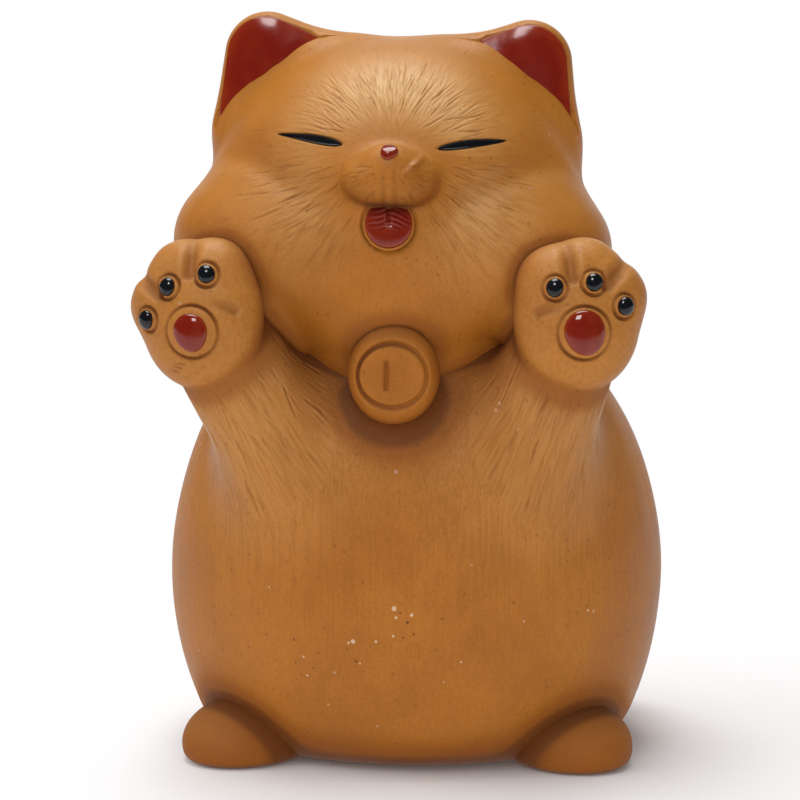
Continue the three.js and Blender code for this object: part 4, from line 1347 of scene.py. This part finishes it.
NOSE_RISE = 2.2
NOSE_HEIGHT = 0.80
NOSE_FLAT = 0.62  # height of the sagged plane over the drop's middle
NOSE_FALL = 0.22
nose_place = landing(muzzle_skin, from_muzzle(0, FAR, CROWN_PLACE[2] + NOSE_RISE), -FORWARD)
nose_outline = round_outline(1.10, 1.25, 0.05, 0.6)


def nose_facet(foot, flat, share, rise):
    """The drop sagged flat on its upper side: what stands above a falling plane is taken off."""
    return np.minimum(NOSE_FLAT - NOSE_FALL * flat[..., 1] - rise, 0) * (rise > 0.2)


nose_piece = drop("nose_red", muzzle_skin, nose_place, ACROSS, nose_outline, NOSE_HEIGHT, lift=nose_facet)
set_in_place(nose_piece, red_glaze, "nose_glaze")


# Tongue
# A round clay button pressed into the stamped ring below the muzzle, with a narrow raised rim.
# Red glaze fills it, and was combed while wet: ripples above and a cleft down the middle.
TONGUE_RIM = 0.4
TONGUE_TILT = 0.22  # its face looks up a little
TONGUE_OVER = 0.16  # the glaze laps the rim above and on both sides, so that the rim shows below
TONGUE_SUNK = 0.2
CLEFT_DEPTH = 0.34
RIPPLE_HEIGHT = 0.070
TONGUE_ROWS = 60
TONGUE_AROUND = 200
tongue_out = unit(tongue_out + TONGUE_TILT * UP)
tongue_side = unit(np.cross(tongue_out, UP))
tongue_up = np.cross(tongue_side, tongue_out)
tongue_turns = even_turns(TONGUE_AROUND)
tongue_ring = circle(tongue_turns, tongue_side, tongue_up)


def lathed(place, out, ring, radii, heights):
    """A profile of radii and heights carried round an axis."""
    radii = np.asarray(radii, float)[:, None, None]
    heights = np.asarray(heights, float)[:, None, None]
    return place + ring * radii + out * heights


button_radii = [0, 1.5, 2.7, 2.9, 3.0, 3.08, 3.2, 3.32, 3.42, 3.46, 3.46, 3.46, 2.0, 0]
button_heights = [0.0, 0.0, 0.0, 0.02, 0.10, 0.26, 0.33, 0.30, 0.18, 0.0, -0.5, -1.3, -1.5, -1.5]
button = lathed(tongue_place, tongue_out, tongue_ring, button_radii, button_heights)
button_groove = np.array([0, 0, 0, 0, 0, 0, 0, 0, 0.1, 0.5, 0.8, 0.8, 0.8, 0.8])
button_piece = skin("tongue_clay", button, {"groove": button_groove[:, None] + 0 * tongue_turns})
set_in_place(button_piece, clay, "tongue")

tongue_share = np.sin(np.linspace(0, np.pi / 2, TONGUE_ROWS))
tongue_flat = (TONGUE_RADIUS - TONGUE_RIM + TONGUE_OVER) * tongue_share[:, None]
tongue_x = tongue_flat * np.cos(tongue_turns)
tongue_z = tongue_flat * np.sin(tongue_turns)
tongue_high = clamped((tongue_z + 1.3) / 1.4)
cleft = hump(tongue_x, 0.24) * clamped((tongue_z + 0.5) / 1.0)
rippled = np.sin(tongue_z * 9 + 1.4 * np.sin(tongue_x * 1.7) + np.abs(tongue_x) * 3.0) * tongue_high
tongue_rise = 0.20 + 0.80 * np.sqrt(np.maximum(1 - tongue_share[:, None] ** 2, 0)) - CLEFT_DEPTH * cleft
tongue_rise = tongue_rise + RIPPLE_HEIGHT * rippled * (1 - tongue_share[:, None] ** 4)
tongue_disc = tongue_place + TONGUE_OVER * tongue_up + tongue_ring * tongue_flat[..., None]
tongue_top = tongue_disc + tongue_out * tongue_rise[..., None]
tongue_top[0] = tongue_top[0].mean(axis=0)
tongue_under = tongue_disc - tongue_out * TONGUE_SUNK
# Painted shadow: the glaze darkens towards its top, under the muzzle.
tongue_painted_shadow = 0.9 * clamped((tongue_z - 0.9) / 1.5)
tongue_edge = tongue_share[:, None] + 0 * tongue_turns
tongue_piece = skin(
    "tongue_red",
    wrapped(tongue_top, tongue_under),
    {"edge": wrapped(tongue_edge, tongue_edge), "pool": wrapped(tongue_painted_shadow, tongue_painted_shadow)},
)
set_in_place(tongue_piece, red_glaze, "tongue_glaze")


# Eyes
# Black glaze laid with a fine brush into the two slits. It shrank in the kiln, so its face is hollow
# and clings to the slit's edge; thick at the inner corner and drawn out to a point.
EYE_HOLLOW = 0.20
EYE_SINK = 0.6


def eye_hollow(foot, flat, share, rise):
    """A flat floor whose edge turns up steeply: the depth falls off with a high power of the share."""
    return (share[:, None] ** 10 - 1) * EYE_HOLLOW + 0 * rise


for side in SIDES:
    leaf = EYES[side]
    along = np.cos(drop_turns)
    half = leaf["width"] * np.abs(np.sin(drop_turns)) ** leaf["sharp"] * (1 - leaf["inner"] * along)
    leaf_outline = np.stack([leaf["length"] * along, half * np.sign(np.sin(drop_turns))], axis=-1)
    eye_spot = (head_skin, leaf["place"], leaf["along"], leaf_outline)
    eye_piece = drop(side + "_eye_black", *eye_spot, 0, EYE_SINK, eye_hollow)
    set_in_place(eye_piece, black_glaze, side + "_eye_glaze")


# Paws
# Thick mitts luted to the wrists, each with three round toes modelled out of its top edge.
# A pipe stamped a ring round every pad; red glaze drops fill the palms and black ones the toes.
PALM_DROP = {"height": 0.85, "ring": 3.55, "wander": 0.045}
PALM_PLACE = {"left": (0.0, -2.0), "right": (-0.5, -2.3)}  # outwards and up from the paw's middle
PALM_SPREAD = {"left": (2.85, 2.75), "right": (2.60, 2.15)}  # upright and across
PALM_BROADER = {"left": 0.16, "right": 0.0}  # above than below
TOE_DROP = {"height": 0.72, "ring": 1.70, "wander": 0.02}
TOE_BELOW = 2.0  # how far the drop's middle lies below the toe's
TOE_NUDGES = {"left": [0.4, -0.2, 0.3], "right": [0.8, -0.5, 0.0]}  # how far each toe's drop sits up
TOE_DROP_SPREAD = (1.25, 1.15)
PAD_SINK = 0.3
PAD_DOME = 0.30
STAMP_DEPTH = 0.50
STAMP_WIDTH = 0.19
PAW_ROWS = 220
PAW_AROUND = 420

# Strokes of a blunt tool on the paw's front: start, way, run, width and depth.
THUMB_FOLD = (-6.6, 0.4, 0.35, 4.4, 0.70, 0.46)
NICKS = {
    "left": [],
    "right": [(0.5 + 0.5 * k, -6.6 - 0.45 * k, 0.15, 1.9, 0.10, 0.12) for k in range(3)],
}


def ring_stamp(p, place, out, radius):
    """What a pipe leaves: a groove round a low dome, pressed deeper above and to one side. Returns
    the lift of the clay and how deep the groove is."""
    offset = p - place
    depth = offset @ out
    flat = offset - depth[..., None] * out
    reach = np.linalg.norm(flat, axis=-1)
    close = depth > -3
    press = 0.70 + 0.30 * np.sin(np.arctan2(flat[..., 2], flat[..., 0]) * 2 - 0.9)
    groove = hump(reach - radius, STAMP_WIDTH) * close * press
    dome = clamped(1 - (reach / radius) ** 2) * close
    return PAD_DOME * dome - STAMP_DEPTH * groove, groove


for side, sign in SIDES.items():
    paw_centre = paws[side]["centre"]
    paw_turn = paws[side]["turn"]
    leans = paws[side]["leans"]
    palm_out = paw_turn @ FORWARD
    paw_skin = luted(paws[side]["form"], arms[side]["form"], WRIST_SEAM)
    spots = [PALM_PLACE[side]]
    for (across, rise), nudge in zip(paws[side]["toes"], TOE_NUDGES[side]):
        spots.append((across, rise - TOE_BELOW + nudge))
    pads = []
    for n, (across, rise) in enumerate(spots):
        place = landing(paw_skin, in_paw(side, across, FAR, rise), -palm_out)
        pads.append((place, facing(paw_skin, place), TOE_DROP if n else PALM_DROP))

    def stamped(p):
        """Lift of the clay, and the groove's depth, from all four stamps."""
        lift = np.zeros(p.shape[:-1])
        groove = np.zeros(p.shape[:-1])
        for place, out, pad in pads:
            one_lift, one_groove = ring_stamp(p, place, out, pad["ring"])
            lift = lift + one_lift
            groove = np.maximum(groove, one_groove)
        return lift, groove

    paw_share = np.linspace(0, 1, PAW_ROWS)
    paw_rows = np.pi * (0.62 * paw_share + 0.38 * paw_share**4)
    paw_rays = polar_rays(palm_out, paw_turn @ ACROSS, paw_rows, PAW_AROUND)
    paw_points = moulded(paw_skin, paw_centre, paw_rays)
    lift, groove = stamped(paw_points)
    paw_flat = ((paw_points - paw_centre) @ paw_turn)[..., [0, 2]] * [sign, 1]
    paw_front = clamped((paw_points - paw_centre) @ palm_out / 2 + 0.5)
    between = (leans[:-1] + leans[1:]) / 2
    folds = [(4.3 * np.sin(a), 4.9 * np.cos(a) - 0.6, np.pi / 2 - a, 6.5, 0.80, 0.68) for a in between]
    fold = scored(paw_flat, [*folds, THUMB_FOLD]) * paw_front
    nick = scored(paw_flat, NICKS[side]) * paw_front
    lift = lift - fold - nick
    groove = groove + 0.35 * clamped(fold / 0.5) + np.clip(nick * 6, 0, 0.8)
    paw_points = paw_points + facing(paw_skin, paw_points) * lift[..., None]
    paw_dust = np.full(groove.shape, FAINT_DUST)
    paw_values = rubbed(paw_points, 1.5, 0.22, groove=clamped(groove), fur=paw_dust)
    paw_piece = skin(side + "_paw_clay", paw_points, paw_values)
    set_in_place(paw_piece, clay, side + "_paw")

    def pad_lift(foot, flat, share, rise):
        return stamped(foot)[0]

    for n, (place, out, pad) in enumerate(pads):
        cad_name = f"{side}_toe_glaze_{n}" if n else side + "_palm_glaze"
        finish = black_glaze if n else red_glaze
        spread = TOE_DROP_SPREAD if n else PALM_SPREAD[side]
        outline = round_outline(*spread, pad["wander"], n + sign)
        if n == 0:
            outline[:, 1] *= 1 + PALM_BROADER[side] * np.cos(drop_turns)
        pad_name = f"{side}_toe_black_{n}" if n else side + "_palm_red"
        pad_piece = drop(pad_name, paw_skin, place, UP, outline, pad["height"], PAD_SINK, pad_lift)
        set_in_place(pad_piece, finish, cad_name)


# Bell
# A flattened ball of clay at the throat, turned with a rim, a groove and a raised face.
# A blunt blade pressed the slot, and a slip of the tool scratched the rim.
BELL_RADIUS = 6.1
BELL_HEIGHT = 4.8
BELL_FORWARD = 3.0
BELL_DROP = 10.6
BELL_ASIDE = -1.3
BELL_LEAN = 3.0  # its face looks up a little
BELL_RIM = 1.2
BELL_GROOVE = 0.5
BELL_SQUASH = (0.90, 1.10)  # height over width, of the face and of the flank
BELL_AROUND = 260
SLOT_ASIDE = -0.75
SLOT_HALF = 1.9
SLOT_WIDTH = 0.30
SLOT_DEPTH = 0.34
BELL_SHALLOW = np.radians(-20)  # the side where the groove is shallow

# Scratches on the rim: start, way, run, width and depth.
BELL_SCRATCHES = [
    (-3.9, 4.3, 2.2, 1.1, 0.12, 0.16),
    (-3.5, 4.7, 2.3, 0.8, 0.10, 0.12),
    (-3.1, 4.9, 2.1, 0.9, 0.10, 0.10),
    (-2.2, 5.0, 1.9, 0.9, 0.12, 0.08),
]
carrier = nearest(body_skin, head_skin)
bell_start = np.array([BODY_CENTRE[0] + BELL_ASIDE, -FAR, BODY_CENTRE[2] + BODY_RADII[2] - BELL_DROP])
bell_place = landing(carrier, bell_start, -FORWARD) + BELL_FORWARD * FORWARD
bell_lip = BELL_HEIGHT * np.sqrt(1 - ((BELL_RADIUS - BELL_RIM) / BELL_RADIUS) ** 2)
bell_face = BELL_RADIUS - BELL_RIM - BELL_GROOVE
bell_turns = even_turns(BELL_AROUND)
bell_ring = circle(bell_turns, ACROSS, UP)
face_radii = np.linspace(0, bell_face - 0.45, 60)
face_heights = bell_lip + 0.55 - 0.22 * (face_radii / bell_face) ** 2
flank = np.linspace(np.arccos((BELL_RADIUS - BELL_RIM + 0.12) / BELL_RADIUS), -0.9, 40)
flank_radii = BELL_RADIUS * np.cos(flank)
flank_heights = BELL_HEIGHT * np.sin(flank)


def bell_profile(face, groove, side, back):
    """One value for each ring of the bell: over its face, its groove, its flank and its back."""
    return np.concatenate([face, groove, side, back])


groove_radii = bell_face + np.array([-0.30, -0.16, -0.06, 0.0, 0.06, 0.18, 0.32, 0.44])
groove_heights = bell_lip + np.array([0.28, 0.18, 0.02, -0.24, -0.46, -0.54, -0.40, -0.16])
bell_radii = bell_profile(face_radii, groove_radii, flank_radii, (2.0, 0.0))
bell_heights = bell_profile(face_heights, groove_heights, flank_heights, (-BELL_HEIGHT, -BELL_HEIGHT))
groove_shade = bell_profile(0 * face_radii, [0, 0, 0.1, 0.6, 1.0, 1.0, 0.4, 0], 0 * flank_radii, (0, 0))
groove_fill = [0, 0, 0.05, 0.20, 0.34, 0.38, 0.28, 0.08]
groove_fill = bell_profile(0 * face_radii, groove_fill, 0 * flank_radii, (0, 0))
bell_points = lathed(bell_place, FORWARD, bell_ring, bell_radii, bell_heights)
bell_out = clamped((bell_radii - bell_face) / (BELL_RADIUS - bell_face))
bell_tall = BELL_SQUASH[0] + (BELL_SQUASH[1] - BELL_SQUASH[0]) * bell_out
bell_points[..., 2] = bell_place[2] + (bell_points[..., 2] - bell_place[2]) * bell_tall[:, None]
bell_x = bell_radii[:, None] * np.cos(bell_turns)
bell_z = bell_radii[:, None] * np.sin(bell_turns)
bell_front = (bell_heights > 0)[:, None]
slot_end = np.maximum(np.abs(bell_z) - SLOT_HALF, 0)
slot_cut = hump(np.hypot(bell_x - SLOT_ASIDE, slot_end), SLOT_WIDTH) * bell_front
bell_scratch = scored(np.stack([bell_x, bell_z], axis=-1), BELL_SCRATCHES) * bell_front
bell_worn = 0.58 - 0.42 * np.cos(bell_turns - BELL_SHALLOW)
bell_lift = 0.8 * groove_fill[:, None] * (1 - bell_worn) - SLOT_DEPTH * slot_cut - bell_scratch
bell_points = bell_points + FORWARD * bell_lift[..., None]
bell_points = (bell_points - bell_place) @ turned(0, -BELL_LEAN).T + bell_place
bell_groove = clamped(groove_shade[:, None] * bell_worn + 0.35 * slot_cut + bell_scratch * 4)
bell_piece = skin("bell_clay", bell_points, rubbed(bell_points, 1.2, 0.2, groove=bell_groove))
set_in_place(bell_piece, clay, "bell")


# Painted shade
# Painted shade darkens the clay where light is blocked: under the chin, between the arms, round the feet,
# below the bell and near the table. Each clay piece gets the share of its outlook that is closed in, and a
# painted top light where it looks up.
PAINTED_SHADE_STEPS = np.array([1.5, 4.0, 10.0, 20.0, 34.0])  # how far out a point looks for other clay
LOW_EDGE = 8.0  # height up to which painted shade darkens the clay towards the table
BELL_BELOW = 2.2  # the painted shadow under the bell reaches this much farther down
BELL_REACH = 2.4
CHEST_DROP = 8.5  # from the bell's middle to the middle of the painted shade on the chest
CHEST_SPREAD = np.array([13.0, 14.0, 5.0])
bell_form = ellipsoid(bell_place, (BELL_RADIUS, BELL_HEIGHT, BELL_RADIUS))
head_group = nearest(head, muzzle, *ears.values())
both_feet = nearest(*feet.values())
both_paws = nearest(*[paw["form"] for paw in paws.values()])
whole = nearest(body, both_arms, head_group, both_feet, both_paws, bell_form)

# Painted shade lies where a piece meets another form. Beside each form are words in the names of the
# pieces that take no painted shade from it.
CREASES = [
    (nearest(body, both_arms), "body arm base tail paw"),
    (head_group, "head muzzle ear tongue paw"),
    (both_feet, "foot paw"),
    (bell_form, "bell paw"),
    (both_paws, "paw"),
    (both_arms, "body base tail head muzzle ear tongue foot bell arm"),
]


def by_name(name, values, usual):
    """The value whose word is in a piece's name, or the usual one."""
    return next((value for word, value in values.items() if word in name), usual)


for piece in [o for o in bpy.data.objects if o.name.endswith("_clay")]:
    spots = np.zeros(len(piece.data.vertices) * 3)
    ways = np.zeros(len(piece.data.vertices) * 3)
    piece.data.vertices.foreach_get("co", spots)
    piece.data.vertices.foreach_get("normal", ways)
    spots = spots.reshape(-1, 3) / MM
    ways = ways.reshape(-1, 3)
    # Painted shade: the share of each point's outlook that other clay closes in.
    room_left = [whole(spots + ways * step) / step for step in PAINTED_SHADE_STEPS]
    closed_in = (1 - np.mean(room_left, axis=0)) * by_name(piece.name, {"head": 0.3}, 1.0)
    # Painted shade along the creases where a piece meets another form.
    others = [form for form, words in CREASES if not any(word in piece.name for word in words.split())]
    reach = by_name(piece.name, {"paw": 0.7, "head": 1.4}, 2.4)
    crease = hump(np.maximum(nearest(*others)(spots), 0), reach) * by_name(piece.name, {"bell": 0.35}, 0.60)
    # Painted shadow under the bell, reaching farther down than up.
    below_bell = np.minimum(bell_form(spots), bell_form(spots + BELL_BELOW * UP))
    bell_shade = hump(np.maximum(below_bell, 0), BELL_REACH) * by_name(piece.name, {"bell": 0.0}, 0.62)
    # Painted shade: darker towards the table.
    low_edge = clamped(1 - spots[:, 2] / LOW_EDGE) ** 1.5 * by_name(piece.name, {"foot": 0.35}, 1.0)
    # Painted shade on the chest below the bell and chin.
    chest_way = (spots - bell_place + CHEST_DROP * UP) / CHEST_SPREAD
    chest_shade = hump(length_of(chest_way)[:, 0], 1)
    chest_shade = chest_shade * by_name(piece.name, {"body": 0.22, "arm": 0.22}, 0.0)
    painted_dark = np.maximum(crease, bell_shade) + chest_shade + 0.90 * low_edge
    # Painted shade: the feet are darker all over, where the belly shades them.
    painted_dark = painted_dark + by_name(piece.name, {"foot": 0.22}, 0.0)
    shelter = clamped(closed_in + painted_dark)
    # Painted top light: the more a point looks up, the paler its tone.
    worn = clamped(ways[:, 2]) ** 2
    for key, values in {"shelter": shelter, "worn": worn}.items():
        layer = piece.data.attributes.new(key, "FLOAT", "POINT")
        layer.data.foreach_set("value", values.astype(np.float32))
